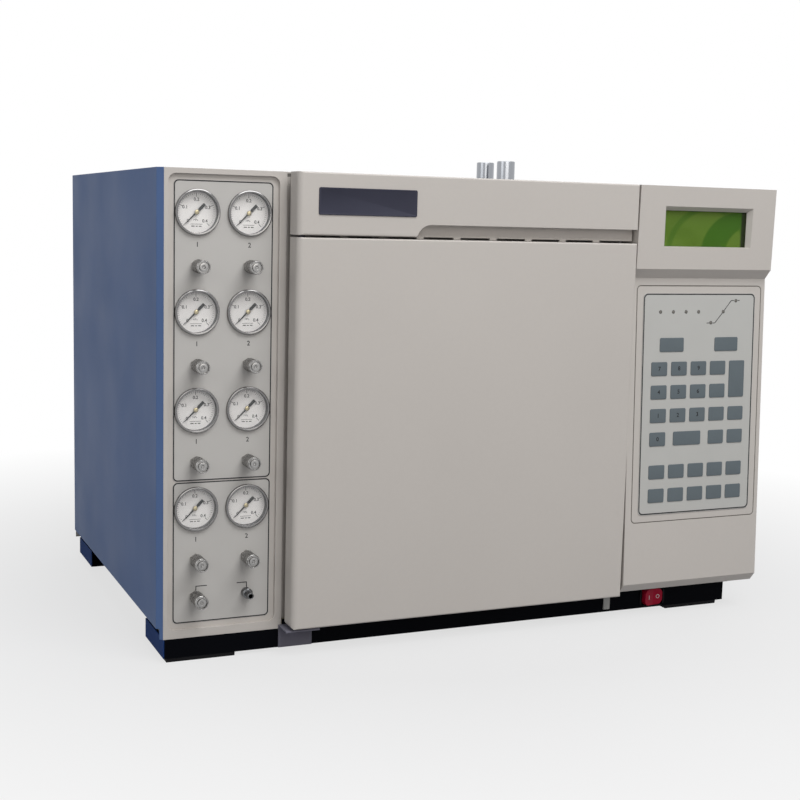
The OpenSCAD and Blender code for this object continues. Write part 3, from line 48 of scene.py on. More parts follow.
# ---- Sizes shared with the CAD source, in millimetres -------------------------------------------
CASE_W, CASE_D, TOP_Z = 658.7, 426.0, 457.3
MID_Y = 209.1  # the frame's Y = 0
SHEET, SEAM = 1.5, 3.0  # thickness of the top cover, and the seam below it
DOOR_X, DOOR_W, DOOR_FRONT, DOOR_GAP = 122.0, 365.0, -28.3, 0.5
OVEN_FRAME_Y = 4.0
COLUMN_X, STEP_Z, FACE_TOP_Y, FACE_TILT = 489.0, 362.7, -17.0, 2.274
KEYPAD_X, KEYPAD_W, KEYPAD_H, KEYPAD_DROP = 15.3, 141.7, 233.4, 15.7
KEYPAD_FRONT, KEY_FRONT = -0.6, -1.1  # faces of the film and of its raised keys, in front of the column
GROOVE_MARGIN, GROOVE_W, GROOVE_D, GROOVE_CORNER = 8.2, 1.0, 0.6, 5.0
GAUGE_X, GAUGE_PITCH = 37.0, 49.2
GAUGE_ROWS = (418.2, 327.7, 237.2, 144.6)
VALVE_DROP, SPLIT_Z = 48.6, 60.7
FILM_X, FILM_W, FILM_Y, DIAL_Y = 14.9, 94.0, 3.0, 6.7
FILM_HEIGHTS = ((35.7, 170.4), (171.0, 447.2))  # bottom and top of the two printed films
GAUGES = [(GAUGE_X + i * GAUGE_PITCH, z) for z in GAUGE_ROWS for i in (0, 1)]
VALVES = [(x, z - VALVE_DROP) for x, z in GAUGES] + [(GAUGE_X, SPLIT_Z)]
SWITCH_X, SWITCH_Y, SWITCH_Z, SWITCH_TURN = 545.6, 4.0, 15.55, 9.0
ROCKER_HALF, ROCKER_END, ROCKER_FALL = 12.2, -7.2, 1.4  # half length, proud end, depth of its middle
INLET_SCREWS = ((569.5, 62.4), (608.5, 62.4))
INLET_PROUD = 3.0
LCD_X, LCD_Z = 524.3, 395.8  # lower left corner of the display

MM = 0.001
TO_FRAME = Matrix.Translation((-CASE_W / 2 * MM, -MID_Y * MM, 0)) @ Matrix.Scale(MM, 4)
FACE_TURN = Matrix.Rotation(math.radians(-FACE_TILT), 4, "X")
ON_FACE = (Matrix.Translation((COLUMN_X + KEYPAD_X, FACE_TOP_Y, STEP_Z)) @ FACE_TURN
           @ Matrix.Translation((0, 0, -KEYPAD_DROP - KEYPAD_H)))


# ---- Node helpers -------------------------------------------------------------------------------
def srgb(text):
    """Linear colour of a hex string."""
    values = [int(text[i:i + 2], 16) / 255 for i in (0, 2, 4)]
    return [v / 12.92 if v <= 0.04045 else ((v + 0.055) / 1.055) ** 2.4 for v in values] + [1.0]


def scaled(colour, factor):
    """The colour made lighter or darker by a factor."""
    return [min(1.0, c * factor) for c in colour[:3]] + [1.0]


class Nodes:
    """Small wrapper round a material's or a world's node tree."""

    def __init__(self, owner, output):
        owner.use_nodes = True
        self.tree = owner.node_tree
        self.tree.nodes.clear()
        self.out = self.add(output)

    def add(self, kind, **values):
        node = self.tree.nodes.new(kind)
        for key, value in values.items():
            setattr(node, key, value)
        return node

    def feed(self, socket, value):
        """Links another node's socket, or sets a plain value. None leaves the socket alone."""
        if isinstance(value, bpy.types.NodeSocket):
            self.tree.links.new(value, socket)
        elif value is not None:
            socket.default_value = value

    def math(self, operation, a, b=None):
        node = self.add("ShaderNodeMath", operation=operation)
        for socket, value in zip(node.inputs, (a, b)):
            self.feed(socket, value)
        return node.outputs[0]

    def blend(self, factor, a, b):
        """Mixes two shaders."""
        node = self.add("ShaderNodeMixShader")
        for socket, value in zip(node.inputs, (factor, a, b)):
            self.feed(socket, value)
        return node.outputs[0]

    def shown_plainly(self):
        """1 for rays of the camera, of a mirror and of clear glass, 0 for those that light surfaces."""
        rays = self.add("ShaderNodeLightPath").outputs
        through = self.math("MAXIMUM", rays["Is Glossy Ray"], rays["Is Transmission Ray"])
        return self.math("MAXIMUM", rays["Is Camera Ray"], through)


class Surface(Nodes):
    """Material with a Principled shader and textures in object coordinates."""

    def __init__(self, name):
        self.material = bpy.data.materials.new(name)
        super().__init__(self.material, "ShaderNodeOutputMaterial")
        self.shader = self.add("ShaderNodeBsdfPrincipled")
        self.feed(self.out.inputs["Surface"], self.shader.outputs[0])
        self.coords = self.add("ShaderNodeTexCoord").outputs["Object"]

    def axes(self):
        """Object coordinates as separate X, Y and Z, in metres."""
        node = self.add("ShaderNodeSeparateXYZ")
        self.feed(node.inputs[0], self.coords)
        return node.outputs

    def noise(self, scale, detail=3.0, stretch=None, roughness=0.5):
        """Noise in object space, as a value from 0 to 1. scale is in features per metre."""
        vector = self.coords
        if stretch:
            mapping = self.add("ShaderNodeMapping")
            self.feed(mapping.inputs["Scale"], stretch)
            self.feed(mapping.inputs["Vector"], vector)
            vector = mapping.outputs[0]
        node = self.add("ShaderNodeTexNoise")
        for name, value in (("Scale", scale), ("Detail", detail), ("Roughness", roughness),
                            ("Vector", vector)):
            self.feed(node.inputs[name], value)
        return node.outputs["Fac"]

    def ramp(self, value, low, high, start=0.3, end=0.7):
        """Colour from low to high as the value goes from start to end."""
        node = self.add("ShaderNodeValToRGB")
        for point, place, colour in zip(node.color_ramp.elements, (start, end), (low, high)):
            point.position = place
            point.color = colour
        self.feed(node.inputs["Fac"], value)
        return node.outputs["Color"]

    def spread(self, value, low, high, start=0.3, end=0.7):
        """Number from low to high as the value goes from start to end."""
        node = self.add("ShaderNodeMapRange")
        for name, number in (("From Min", start), ("From Max", end), ("To Min", low), ("To Max", high),
                             ("Value", value)):
            self.feed(node.inputs[name], number)
        return node.outputs[0]

    def mix(self, factor, a, b):
        """Mixes two colours."""
        node = self.add("ShaderNodeMix", data_type="RGBA")
        for place, value in ((0, factor), (6, a), (7, b)):  # the inputs that a colour mix uses
            self.feed(node.inputs[place], value)
        return node.outputs[2]

    def bump(self, height, strength, distance, edge=0.0):
        """Bump of distance millimetres, and edges rounded by edge millimetres."""
        node = self.add("ShaderNodeBump")
        for name, value in (("Strength", strength), ("Distance", distance * MM), ("Height", height)):
            self.feed(node.inputs[name], value)
        if edge:
            rounding = self.add("ShaderNodeBevel", samples=4)
            self.feed(rounding.inputs["Radius"], edge * MM)
            self.feed(node.inputs["Normal"], rounding.outputs[0])
        self.feed(self.shader.inputs["Normal"], node.outputs[0])

    def colour(self, value):
        self.feed(self.shader.inputs["Base Color"], value)

    def rough(self, value):
        self.feed(self.shader.inputs["Roughness"], value)

    def set(self, **values):
        """Sets the shader's inputs, named with underscores for spaces."""
        for key, value in values.items():
            self.feed(self.shader.inputs[key.replace("_", " ")], value)


# ---- Materials ----------------------------------------------------------------------------------
def powder(name, colour, rough=0.42, grain=700, depth=0.25, vary=0.03, edge=0.5, sheen=0.35):
    """Powder-coated or textured surface: fine orange peel, slow colour drift and a little dust."""
    n = Surface(name)
    base = srgb(colour)
    drift = n.ramp(n.noise(6, 4), scaled(base, 1 - vary), scaled(base, 1 + vary))
    dust = n.spread(n.noise(260, 2), 0.0, 0.06)
    n.colour(n.mix(dust, drift, scaled(base, 0.8)))
    n.rough(n.spread(n.noise(14, 3), rough - 0.04, rough + 0.05))
    n.bump(n.noise(grain, 2), depth, 0.08, edge)
    n.set(Specular_IOR_Level=sheen)
    return n


def left_side_painted_light(name, front, side, edge_x):
    """Satin paint whose faces left of edge_x, in millimetres, get another colour, which is painted light or
    shade on that side.
    """
    n = powder(name, front, rough=0.6, grain=600, depth=0.2, vary=0.1, sheen=0.02)
    first = n.shader.inputs["Base Color"].links[0].from_socket
    # The colour left of edge_x is painted light or shade, not a paint of its own.
    painted_left_colour = n.ramp(n.noise(30, 2), scaled(srgb(side), 0.9), scaled(srgb(side), 1.1), 0.0, 1.0)
    left = n.math("LESS_THAN", n.axes()["X"], (edge_x - CASE_W / 2) * MM)
    n.colour(n.mix(left, first, painted_left_colour))
    return n


def metal(name, colour, rough=0.3, stretch=(1, 1, 1), scale=400, depth=0.15, vary=0.08, edge=0.3):
    """Bare metal with a drawn or turned grain along the axis whose stretch is smallest."""
    n = Surface(name)
    base = srgb(colour)
    grain = n.noise(scale, 4, stretch)
    smear = n.noise(18, 3)
    tone = n.ramp(grain, scaled(base, 1 - vary), scaled(base, 1 + vary))
    n.colour(n.mix(n.spread(smear, 0.0, 0.25), tone, scaled(base, 0.85)))
    n.rough(n.math("ADD", n.spread(grain, rough - 0.06, rough + 0.06), n.spread(smear, 0.0, 0.06)))
    n.bump(grain, depth, 0.05, edge)
    n.set(Metallic=1.0)
    return n


def plastic(name, colour, rough=0.45, grain=900, depth=0.15, vary=0.05, edge=0.3, sheen=0.4):
    """Moulded or printed plastic with a fine grain and faint blotches."""
    n = Surface(name)
    base = srgb(colour)
    n.colour(n.ramp(n.noise(40, 4), scaled(base, 1 - vary), scaled(base, 1 + vary)))
    n.rough(n.spread(n.noise(60, 3), rough - 0.06, rough + 0.06))
    n.bump(n.noise(grain, 2), depth, 0.06, edge)
    n.set(Specular_IOR_Level=sheen)
    return n


def felt(name, colour):
    """Wool or foam: matt, with short fibres and soft lumps."""
    n = Surface(name)
    base = srgb(colour)
    fibre = n.noise(900, 6, (1, 1, 0.35), 0.7)
    n.colour(n.ramp(fibre, scaled(base, 0.8), scaled(base, 1.1), 0.35, 0.65))
    n.rough(n.spread(fibre, 0.85, 1.0))
    n.bump(n.math("ADD", fibre, n.noise(120, 4)), 0.7, 0.8)
    return n


def clear(name, colour, alpha, rough=0.04):
    """Thin clear glass, seen by its reflections."""
    n = Surface(name)
    n.colour(n.ramp(n.noise(30, 2), scaled(srgb(colour), 0.97), srgb(colour)))
    n.rough(n.spread(n.noise(50, 3), rough, rough + 0.05))
    n.bump(n.noise(20, 1), 0.02, 0.1)
    n.set(Alpha=alpha, IOR=1.35, Specular_IOR_Level=0.25)
    n.material.surface_render_method = "BLENDED"
    return n


LCD_CELL, LCD_LINE = 0.7, 0.86  # pitch of the dot grid, and the sine above which a point is on a line
LCD_EDGE = (96.0, 98.5)  # where the black right edge starts and is full, from the display's left
CRESCENT_SOFT = 1.2
NARROW_CRESCENT = ((55, -10, 52.5), (56, -10, 47.0))  # x, z and radius of its outer and inner circle
WIDE_CRESCENT = ((93, -10, 46.5), (108, -10, 31.0))


def lcd(name):
    """Display glass: a fine dot grid, two darker crescents of the backlight and a black right edge."""
    n = Surface(name)
    axes = n.axes()
    left, low = LCD_X - CASE_W / 2, LCD_Z

    def inside(x, z, r):
        """1 within r of a point of the display, 0 outside it, in millimetres from its lower left corner."""
        squares = [n.math("POWER", n.math("SUBTRACT", axes[axis], value * MM), 2)
                   for axis, value in (("X", left + x), ("Z", low + z))]
        away = n.math("SQRT", n.math("ADD", *squares))
        return n.spread(away, 1.0, 0.0, (r - CRESCENT_SOFT) * MM, (r + CRESCENT_SOFT) * MM)

    def crescent(circles):
        outer, inner = (inside(*circle) for circle in circles)
        return n.math("SUBTRACT", outer, n.math("MULTIPLY", outer, inner))

    def lines(axis):
        phase = n.math("MULTIPLY", axes[axis], 2 * math.pi / (LCD_CELL * MM))
        return n.math("GREATER_THAN", n.math("SINE", phase), LCD_LINE)

    grid = n.math("MAXIMUM", lines("X"), lines("Z"))
    glow = n.ramp(n.noise(16, 2, (1, 1, 2.4)), srgb("52701f"), srgb("5f7c2b"), 0.35, 0.65)
    narrow = n.math("MULTIPLY", crescent(NARROW_CRESCENT), 0.6)
    glass = n.mix(n.math("MAXIMUM", narrow, crescent(WIDE_CRESCENT)), glow, srgb("33600a"))
    edge = n.spread(axes["X"], 0.0, 1.0, *((left + x) * MM for x in LCD_EDGE))
    n.colour(n.mix(edge, n.mix(n.math("MULTIPLY", grid, 0.2), glass, srgb("2c4712")), srgb("0a1006")))
    n.rough(n.spread(n.noise(90, 2), 0.3, 0.4))
    n.bump(grid, 0.1, 0.02)
    n.set(Specular_IOR_Level=0.1)
    return n


def board(name):
    """Green circuit board with its tracks under the lacquer."""
    n = Surface(name)
    tracks = n.noise(260, 1, (1, 1, 4))
    n.colour(n.ramp(tracks, srgb("1f5a32"), srgb("2b7340"), 0.48, 0.52))
    n.rough(n.spread(n.noise(200, 2), 0.3, 0.45))
    n.bump(tracks, 0.3, 0.05)
    return n


BEIGE = "bfbab5"
PAINT = dict(depth=0.18, vary=0.015)
INK = dict(rough=0.5, depth=0.05, vary=0.08, edge=0.0, sheen=0.2)
FINISHES = {
    # black_paint: the rails are black all over; the dark blue on their left faces is a painted reflection of
    # blue light.
    "black_paint": (left_side_painted_light, dict(front="08090d", side="1c3a70", edge_x=6.6)),
    "pad_rubber": (plastic, dict(colour="101013", rough=0.8, grain=500, depth=0.4, sheen=0.15)),
    "zinc_sheet": (metal, dict(colour="8f9295", rough=0.45, scale=60, vary=0.1)),
    "blue_paint": (powder, dict(colour="5c74a0", rough=0.4, grain=600, depth=0.18, vary=0.04, sheen=0.02)),
    "beige_paint": (powder, dict(colour=BEIGE, rough=0.4, grain=640, **PAINT)),
    "grey_paint": (powder, dict(colour="aaa9a4", rough=0.45)),
    "printed_film": (plastic, dict(colour="b9b7b4", rough=0.5, grain=1200, depth=0.08, vary=0.012, edge=0.1)),
    "gauge_steel": (metal, dict(colour="6a6b6d")),
    "bezel_steel": (metal, dict(colour="7c7b7b", rough=0.16, vary=0.05, depth=0.05)),
    "dial_white": (plastic, dict(colour="f3f0ee", rough=0.55, grain=1500, depth=0.03, vary=0.012, edge=0.0,
                                 sheen=0.2)),
    "gauge_glass": (clear, dict(colour="f2f6f6", alpha=0.05)),
    "pointer_black": (plastic, dict(colour="141416", rough=0.5, depth=0.1, edge=0.0, sheen=0.2)),
    "valve_nickel": (metal, dict(colour="8f8d89")),
    "knob_metal": (metal, dict(colour="9a9998", rough=0.24, vary=0.16)),
    "line_steel": (metal, dict(colour="b5b6b8", rough=0.28)),
    "stainless": (metal, dict(colour="bcbdbe", rough=0.32, stretch=(0.06, 1, 1), scale=600)),
    "seal_silicone": (plastic, dict(colour="8a4a38", rough=0.7, grain=400, depth=0.3)),
    # bracket_grey: one grey; the darker bluish grey left of x 300 mm is painted shade on the door rest under
    # the door.
    "bracket_grey": (left_side_painted_light, dict(front="b4b4b2", side="73727e", edge_x=300.0)),
    "mineral_wool": (felt, dict(colour="cfc6ab")),
    "fan_aluminium": (metal, dict(colour="bdbfc1", rough=0.35, scale=120)),
    "heater_alloy": (metal, dict(colour="6b5f58", rough=0.55, vary=0.2)),
    "motor_paint": (powder, dict(colour="3c3f42", rough=0.4)),
    "detector_chrome": (metal, dict(colour="9ea1a6", rough=0.12, stretch=(1, 1, 0.05), scale=500, depth=0.05,
                                    vary=0.06)),
    "injector_steel": (metal, dict(colour="adb0b3")),
    "beige_moulding": (powder, dict(colour=BEIGE, grain=820, **PAINT)),
    "keypad_film": (plastic, dict(colour="b7b7b4", grain=1300, depth=0.06, vary=0.012, edge=0.1, sheen=0.3)),
    "window_tint": (clear, dict(colour="b9cf8e", alpha=0.04)),
    "display_green": (lcd, {}),
    "board_green": (board, {}),
    "rocker_red": (plastic, dict(colour="a80a30", rough=0.35, grain=600, depth=0.05, sheen=0.12)),
    "black_plastic": (plastic, dict(colour="0d0d10", rough=0.5, grain=700, depth=0.2, sheen=0.08)),
    "print_dark": (plastic, dict(colour="2f2f31", **INK)),
    "print_black": (plastic, dict(colour="242426", **INK)),
    "print_white": (plastic, dict(colour="d8d0d2", rough=0.5, depth=0.05, vary=0.03, edge=0.0)),
    "key_slate": (plastic, dict(colour="5f686d", rough=0.5, grain=1200, depth=0.06, vary=0.03, edge=0.2,
                                sheen=0.2)),
    "plate_slate": (plastic, dict(colour="3b3c49", rough=0.5, grain=1000, depth=0.08, edge=0.2, sheen=0.1)),
    "hub_brass": (metal, dict(colour="a69b7d", rough=0.35, vary=0.1, edge=0.0)),
    # groove_shade: colour of the painted shade strip in the keypad's groove.
    "groove_shade": (powder, dict(colour="6f6c66", rough=0.6, depth=0.1, edge=0.0, sheen=0.1)),
    "seam_foam": (felt, dict(colour="6f6d69")),
    "lamp_dark": (plastic, dict(colour="6b6862", rough=0.25, grain=800, depth=0.03, vary=0.08, edge=0.0)),
}
finish = {name: make(name, **settings).material for name, (make, settings) in FINISHES.items()}

for entry in frame["record"]["subparts"]:
    for place in nodes[entry["node"]].material_slots:
        place.material = finish[entry["material_slot"]]


# ---- Mesh helpers -------------------------------------------------------------------------------
def finished(name, bm, smooth=False):
    """Mesh of a bmesh, with its faces turned outwards."""
    bmesh.ops.recalc_face_normals(bm, faces=bm.faces)
    data = bpy.data.meshes.new(name)
    bm.to_mesh(data)
    bm.free()
    if smooth:
        data.shade_smooth()
        data.set_sharp_from_angle(angle=math.radians(35))
    return data


def add_piece(name, bm, body, slot, finish_name=None, matrix=None, smooth=False):
    """Links a piece drawn in millimetres and makes it ride on a body."""
    data = finished(name, bm, smooth)
    data.transform(TO_FRAME @ (matrix or Matrix.Identity(4)))
    data.materials.append(finish[finish_name or slot])
    obj = bpy.data.objects.new(name, data)
    bpy.context.scene.collection.objects.link(obj)
    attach(obj, body)
    return obj


def polar(x, z, r, degrees):
    """Point at a distance and an angle from x, z."""
    a = math.radians(degrees)
    return x + r * math.cos(a), z + r * math.sin(a)


def rounded_loop(x, z, w, h, r, steps=6):
    """Points of a rounded rectangle in X and Z, with its lower left corner at x, z."""
    corners = ((x + w - r, z + h - r, 0), (x + r, z + h - r, 90), (x + r, z + r, 180),
               (x + w - r, z + r, 270))
    return [polar(cx, cz, r, start + 90 * i / steps) for cx, cz, start in corners for i in range(steps + 1)]


def inset_loop(x, z, w, h, r, by):
    """The rounded rectangle x, z, w, h with its outline moved inwards."""
    return rounded_loop(x + by, z + by, w - 2 * by, h - 2 * by, max(0.2, r - by))


def circle_loop(x, z, r, steps=32):
    return [polar(x, z, r, 360 * i / steps) for i in range(steps)]


def stack(bm, loops, close=True):
    """Solid through loops of the same number of points, each given as (points, y). It has flat ends, or
    without close runs back from the last loop to the first."""
    rings = [[bm.verts.new((x, y, z)) for x, z in points] for points, y in loops]
    pairs = list(zip(rings, rings[1:]))
    if not close:
        pairs.append((rings[-1], rings[0]))
    for a, b in pairs:
        for i in range(len(a)):
            k = (i + 1) % len(a)
            bm.faces.new((a[i], a[k], b[k], b[i]))
    if close:
        bm.faces.new(rings[0])
        bm.faces.new(rings[-1])


def ring(bm, outer, inner, y0, y1):
    """Flat ring between two loops, from y0 back to y1."""
    stack(bm, [(outer, y0), (inner, y0), (inner, y1), (outer, y1)], close=False)


def border(bm, spot, y0, y1, inset, line, radii, steps=6):
    """Printed line inside the rectangle x, z, w, h. radii are those of the line's outer and inner edge."""
    x, z, w, h = spot
    loops = [rounded_loop(x + by, z + by, w - 2 * by, h - 2 * by, r, steps)
             for by, r in zip((inset, inset + line), radii)]
    ring(bm, *loops, y0, y1)


def bar(bm, a, b, width, y0, y1):
    """Flat bar from point a to point b in X and Z."""
    d = Vector((b[0] - a[0], b[1] - a[1])).normalized() * width / 2
    side = Vector((-d.y, d.x))
    points = [(a[0] + side.x, a[1] + side.y), (a[0] - side.x, a[1] - side.y),
              (b[0] - side.x, b[1] - side.y), (b[0] + side.x, b[1] + side.y)]
    stack(bm, [(points, y0), (points, y1)])


def words(bm, text, size, x, z, y, weight=0.0):
    """Flat lettering facing forward, centred on x, z, with its back near the plane y."""
    raised = 0.02
    curve = bpy.data.curves.new("lettering", "FONT")
    curve.body = text
    curve.size = size
    curve.align_x = "CENTER"
    curve.align_y = "CENTER"
    curve.extrude = raised
    curve.offset = weight
    curve.resolution_u = 3
    holder = bpy.data.objects.new("lettering", curve)
    bpy.context.scene.collection.objects.link(holder)
    drawn = bpy.data.meshes.new_from_object(holder.evaluated_get(bpy.context.evaluated_depsgraph_get()))
    bpy.data.objects.remove(holder)
    bpy.data.curves.remove(curve)
    drawn.transform(Matrix.Translation((x, y - raised, z)) @ Matrix.Rotation(math.pi / 2, 4, "X"))
    bm.from_mesh(drawn)
    bpy.data.meshes.remove(drawn)


def turned_ring(bm, r, y, steps):
    """Vertices of a circle about Y, or the one vertex on the axis where r is 0."""
    if r == 0:
        return [bm.verts.new((0, y, 0))]
    return [bm.verts.new((x, y, z)) for x, z in circle_loop(0, 0, r, steps)]


def revolve(bm, profile, steps):
    """Solid turned about Y. profile is (radius, y) from one end of the axis to the other."""
    rings = [turned_ring(bm, r, y, steps) for r, y in profile]
    for a, b in zip(rings, rings[1:]):
        for i in range(steps):
            k = (i + 1) % steps
            corners = [a[i % len(a)], a[k % len(a)], b[k % len(b)], b[i % len(b)]]
            unique = list(dict.fromkeys(corners))
            if len(unique) > 2:
                bm.faces.new(unique)


# ---- Gauges -------------------------------------------------------------------------------------
PRINT, SUNK = 0.05, 0.001  # how far print stands out, and how far its back is set from the surface
BOLD = 0.08  # how far lettering is thickened
NUMBER_SIZE, UNIT_SIZE, LABEL_SIZE = 4.2, 2.6, 6.2
ZERO, SWEEP = 225.0, 270.0  # degrees of the scale's zero and of its whole length
DIVISIONS = 40
MARKS = ((10, 13.9, 0.42), (5, 15.2, 0.2), (1, 15.9, 0.2))  # every so many divisions: start radius, width
MARK_END = 17.2
SCALE = (("0", 11.2), ("0.1", 11.4), ("0.2", 11.4), ("0.3", 11.4), ("0.4", 11.2))  # number and its radius
UNIT_X, UNIT_DROP = -0.6, 7.0
RULE_DROP, RULE_LINE, DASH_DROP, DASH_LINE = 10.8, 0.35, 12.7, 0.8
RULE = (-5.5, 5.5)  # left and right end, from the gauge's middle
DASHES = ((-4.6, -1.6), (-0.6, 1.2), (2.2, 4.8))
HUB = [(0, 3.9), (0.9, 3.95), (1.7, 4.2), (2.2, 4.55), (2.3, 4.78), (0, 4.78)]  # radius and y


def dial_print(bm, gx, gz):
    """Marks, numbers, unit and a few bare dashes of one gauge."""
    face = DIAL_Y - 2 * SUNK

    def level(left, right, drop, width):
        bar(bm, (gx + left, gz - drop), (gx + right, gz - drop), width, face - PRINT, face)

    for i in range(DIVISIONS + 1):
        start, width = next((start, width) for every, start, width in MARKS if i % every == 0)
        angle = ZERO - SWEEP * i / DIVISIONS
        bar(bm, polar(gx, gz, start, angle), polar(gx, gz, MARK_END, angle), width, face - PRINT, face)
    for i, (number, reach) in enumerate(SCALE):
        x, z = polar(gx, gz, reach, ZERO - SWEEP * i / (len(SCALE) - 1))
        words(bm, number, NUMBER_SIZE, x, z, face, BOLD)
    words(bm, "MPa", UNIT_SIZE, gx + UNIT_X, gz - UNIT_DROP, face)
    level(*RULE, RULE_DROP, RULE_LINE)
    for left, right in DASHES:
        level(left, right, DASH_DROP, DASH_LINE)


def gauges():
    bm = bmesh.new()
    for gx, gz in GAUGES:
        dial_print(bm, gx, gz)
    add_piece("dial_scales", bm, "cabinet", "dial_white", "print_black")
    for k, (gx, gz) in enumerate(GAUGES, 1):
        bm = bmesh.new()
        revolve(bm, HUB, 32)
        add_piece(f"pointer_hub_{k}", bm, f"pointer_{k}", "valve_nickel", "hub_brass",
                  Matrix.Translation((gx, 0, gz)), smooth=True)


# ---- Printed lines and numbers on the gas panel -------------------------------------------------
LABEL_DROP = 29.2
FILM_LINE = dict(inset=0.3, line=1.1, radii=(4.2, 3.5))
VENT_TOP, VENT_LINE = 9.8, 0.85
VENT_BRACKET = (((0.4, 5.9), (0.4, VENT_TOP)), ((0.1, VENT_TOP), (11.0, VENT_TOP)),
                ((40.0, VENT_TOP), (50.0, VENT_TOP)), ((49.7, VENT_TOP), (49.7, 4.6)))  # from the split knob


def panel_print():
    bm = bmesh.new()
    front, back = FILM_Y - PRINT, FILM_Y - SUNK
    for z0, z1 in FILM_HEIGHTS:
        border(bm, (FILM_X, z0, FILM_W, z1 - z0), front, back, **FILM_LINE)
    for ends in VENT_BRACKET:
        a, b = ((GAUGE_X + x, SPLIT_Z + z) for x, z in ends)
        bar(bm, a, b, VENT_LINE, front, back)
    for k, (gx, gz) in enumerate(GAUGES):
        words(bm, str(1 + k % 2), LABEL_SIZE, gx, gz - LABEL_DROP, back, BOLD)
    add_piece("panel_print", bm, "cabinet", "printed_film", "print_dark")


# ---- Knobs --------------------------------------------------------------------------------------
KNOB_R, KNOB_BACK, KNOB_FRONT = 6.3, -0.2, -21.2
KNOB_STEPS = 120
KNURL_R, KNURL_BACK, KNURL_FRONT = KNOB_R - 0.02, KNOB_BACK - 0.9, KNOB_FRONT + 2.6
KNURL_TEETH, KNURL_ROWS, KNURL_DEPTH, KNURL_SLOPE = 24, 40, 0.42, 0.9
KNOB_TAIL = ((2.0, 15.0), (2.0, 0.0), (5.6, 0.0), (6.1, -0.5))  # radius, and y from the knob's back
KNOB_FACE = ((6.1, 2.3), (5.3, 1.9), (5.3, 1.5), (6.2, 1.2), (6.2, 0.6), (5.8, 0.0), (5.2, 0.0), (5.0, 2.4),
             (3.9, 2.4), (3.8, 0.5), (3.0, 0.3), (1.6, 0.4), (0.9, 1.4))  # radius, and y from its front


def knurl_radius(i, y):
    """Barrel radius at step i of the circle and at y: crossed grooves that fade out at both ends."""
    share = (y - KNURL_BACK) / (KNURL_FRONT - KNURL_BACK)
    fade = min(1.0, 8 * share, 8 * (1 - share))
    around = i / KNOB_STEPS * KNURL_TEETH
    along = (y - KNURL_BACK) / (2 * math.pi * KNOB_R / KNURL_TEETH) * KNURL_SLOPE
    cut = max(abs((around + along) % 1 - 0.5), abs((around - along) % 1 - 0.5)) * 2
    return KNURL_R - KNURL_DEPTH * fade * cut ** 3


def knurled_knob(bm):
    """Barrel with a diamond knurl, and a rolled rim round a sunk ring and a dimpled disc."""
    rings = [([r] * KNOB_STEPS, KNOB_BACK + y) for r, y in KNOB_TAIL]
    for row in range(KNURL_ROWS + 1):
        y = KNURL_BACK + (KNURL_FRONT - KNURL_BACK) * row / KNURL_ROWS
        rings.append(([knurl_radius(i, y) for i in range(KNOB_STEPS)], y))
    rings += [([r] * KNOB_STEPS, KNOB_FRONT + y) for r, y in KNOB_FACE]
    stack(bm, [([polar(0, 0, r, 360 * i / KNOB_STEPS) for i, r in enumerate(radii)], y)
               for radii, y in rings])


def knobs():
    for k, (vx, vz) in enumerate(VALVES, 1):
        bm = bmesh.new()
        knurled_knob(bm)
        knob = add_piece(f"knurled_knob_{k}", bm, f"knob_{k}", "knob_metal",
                         matrix=Matrix.Translation((vx, 0, vz)), smooth=True)
        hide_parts(f"valve_knob_{k}")


# ---- Nameplate, left bare -----------------------------------------------------------------------
PLATE = (142.0, 418.8, 98.2, 24.9, 1.5)  # x, z, width, height, corner
PLATE_STEPS = ((0.0, 0.01), (0.0, 0.7), (0.3, 1.0), (1.4, 1.0), (1.6, 0.85))  # inset, and how far forward


def bare_plate():
    bm = bmesh.new()
    stack(bm, [(inset_loop(*PLATE, by), DOOR_FRONT - forward) for by, forward in PLATE_STEPS])
    add_piece("bare_plate", bm, "cabinet", "keypad_film", "plate_slate", smooth=True)


# ---- Keypad, drawn from the film's lower left corner --------------------------------------------
KEY_W, KEY_H, KEY_PITCH, KEY_X0 = 19.6, 14.6, 24.7, 21.4
ROWS = (20.2, 45.3, 80.2, 105.0, 129.8, 154.3)
WIDE_ROW = 179.5
WIDE_KEY, SPACE_KEY, KEY_CORNER = KEY_W + 10, KEY_W + 15, 1.5
DIGIT_SIZE, DIGIT_BOLD = 6.2, 0.12
KEYPAD_LINE = dict(inset=0.4, line=1.3, radii=(5, 4.1), steps=8)
LAMP_RING, GRAPH_LINE = (1.9, 1.5), 0.8
KEY_STEPS = ((-0.05, 0.45), (-0.05, 0.0), (0.15, -0.14), (0.6, -0.2))  # inset, and y from the key's front
LAMPS = [(21.2, 213.9), (37.2, 213.9), (53.1, 213.9), (69.0, 213.9),
         (84.9, 202.3), (100.6, 213.9), (116.6, 225.6)]
LAMP_STEPS = ((1.4, SUNK), (1.4, -0.12), (0.9, -0.35), (0.3, -0.42))  # radius, and y from the film
GRAPH = (((79.7, 202.0), (82.6, 202.0)), ((87.2, 202.0), (90.1, 202.0)), ((90.1, 202.0), (99.2, 212.2)),
         ((101.9, 215.4), (110.7, 225.8)), ((110.7, 225.8), (114.3, 225.8)), ((118.9, 225.8), (121.5, 225.8)))
DIGITS = {5: "789", 4: "456", 3: "123", 2: "0"}  # row of the keypad and the digits from its left


def key_spots():
    """Centre, width and height of every key, first with its column in place of x."""
    spots = [(column, ROWS[row], KEY_W, KEY_H) for row in (0, 1, 3) for column in range(5)]
    spots += [(column, ROWS[2], KEY_W, KEY_H) for column in (0, 3, 4)]
    spots += [(1.5, ROWS[2], SPACE_KEY, KEY_H)]
    spots += [(column, ROWS[row], KEY_W, KEY_H) for row in (4, 5) for column in range(4)]
    spots += [(4, (ROWS[4] + ROWS[5]) / 2, KEY_W, ROWS[5] - ROWS[4] + KEY_H)]
    spots += [(column, WIDE_ROW, WIDE_KEY, KEY_H) for column in (0.6, 3.4)]
    return [(KEY_X0 + column * KEY_PITCH, z, w, h) for column, z, w, h in spots]


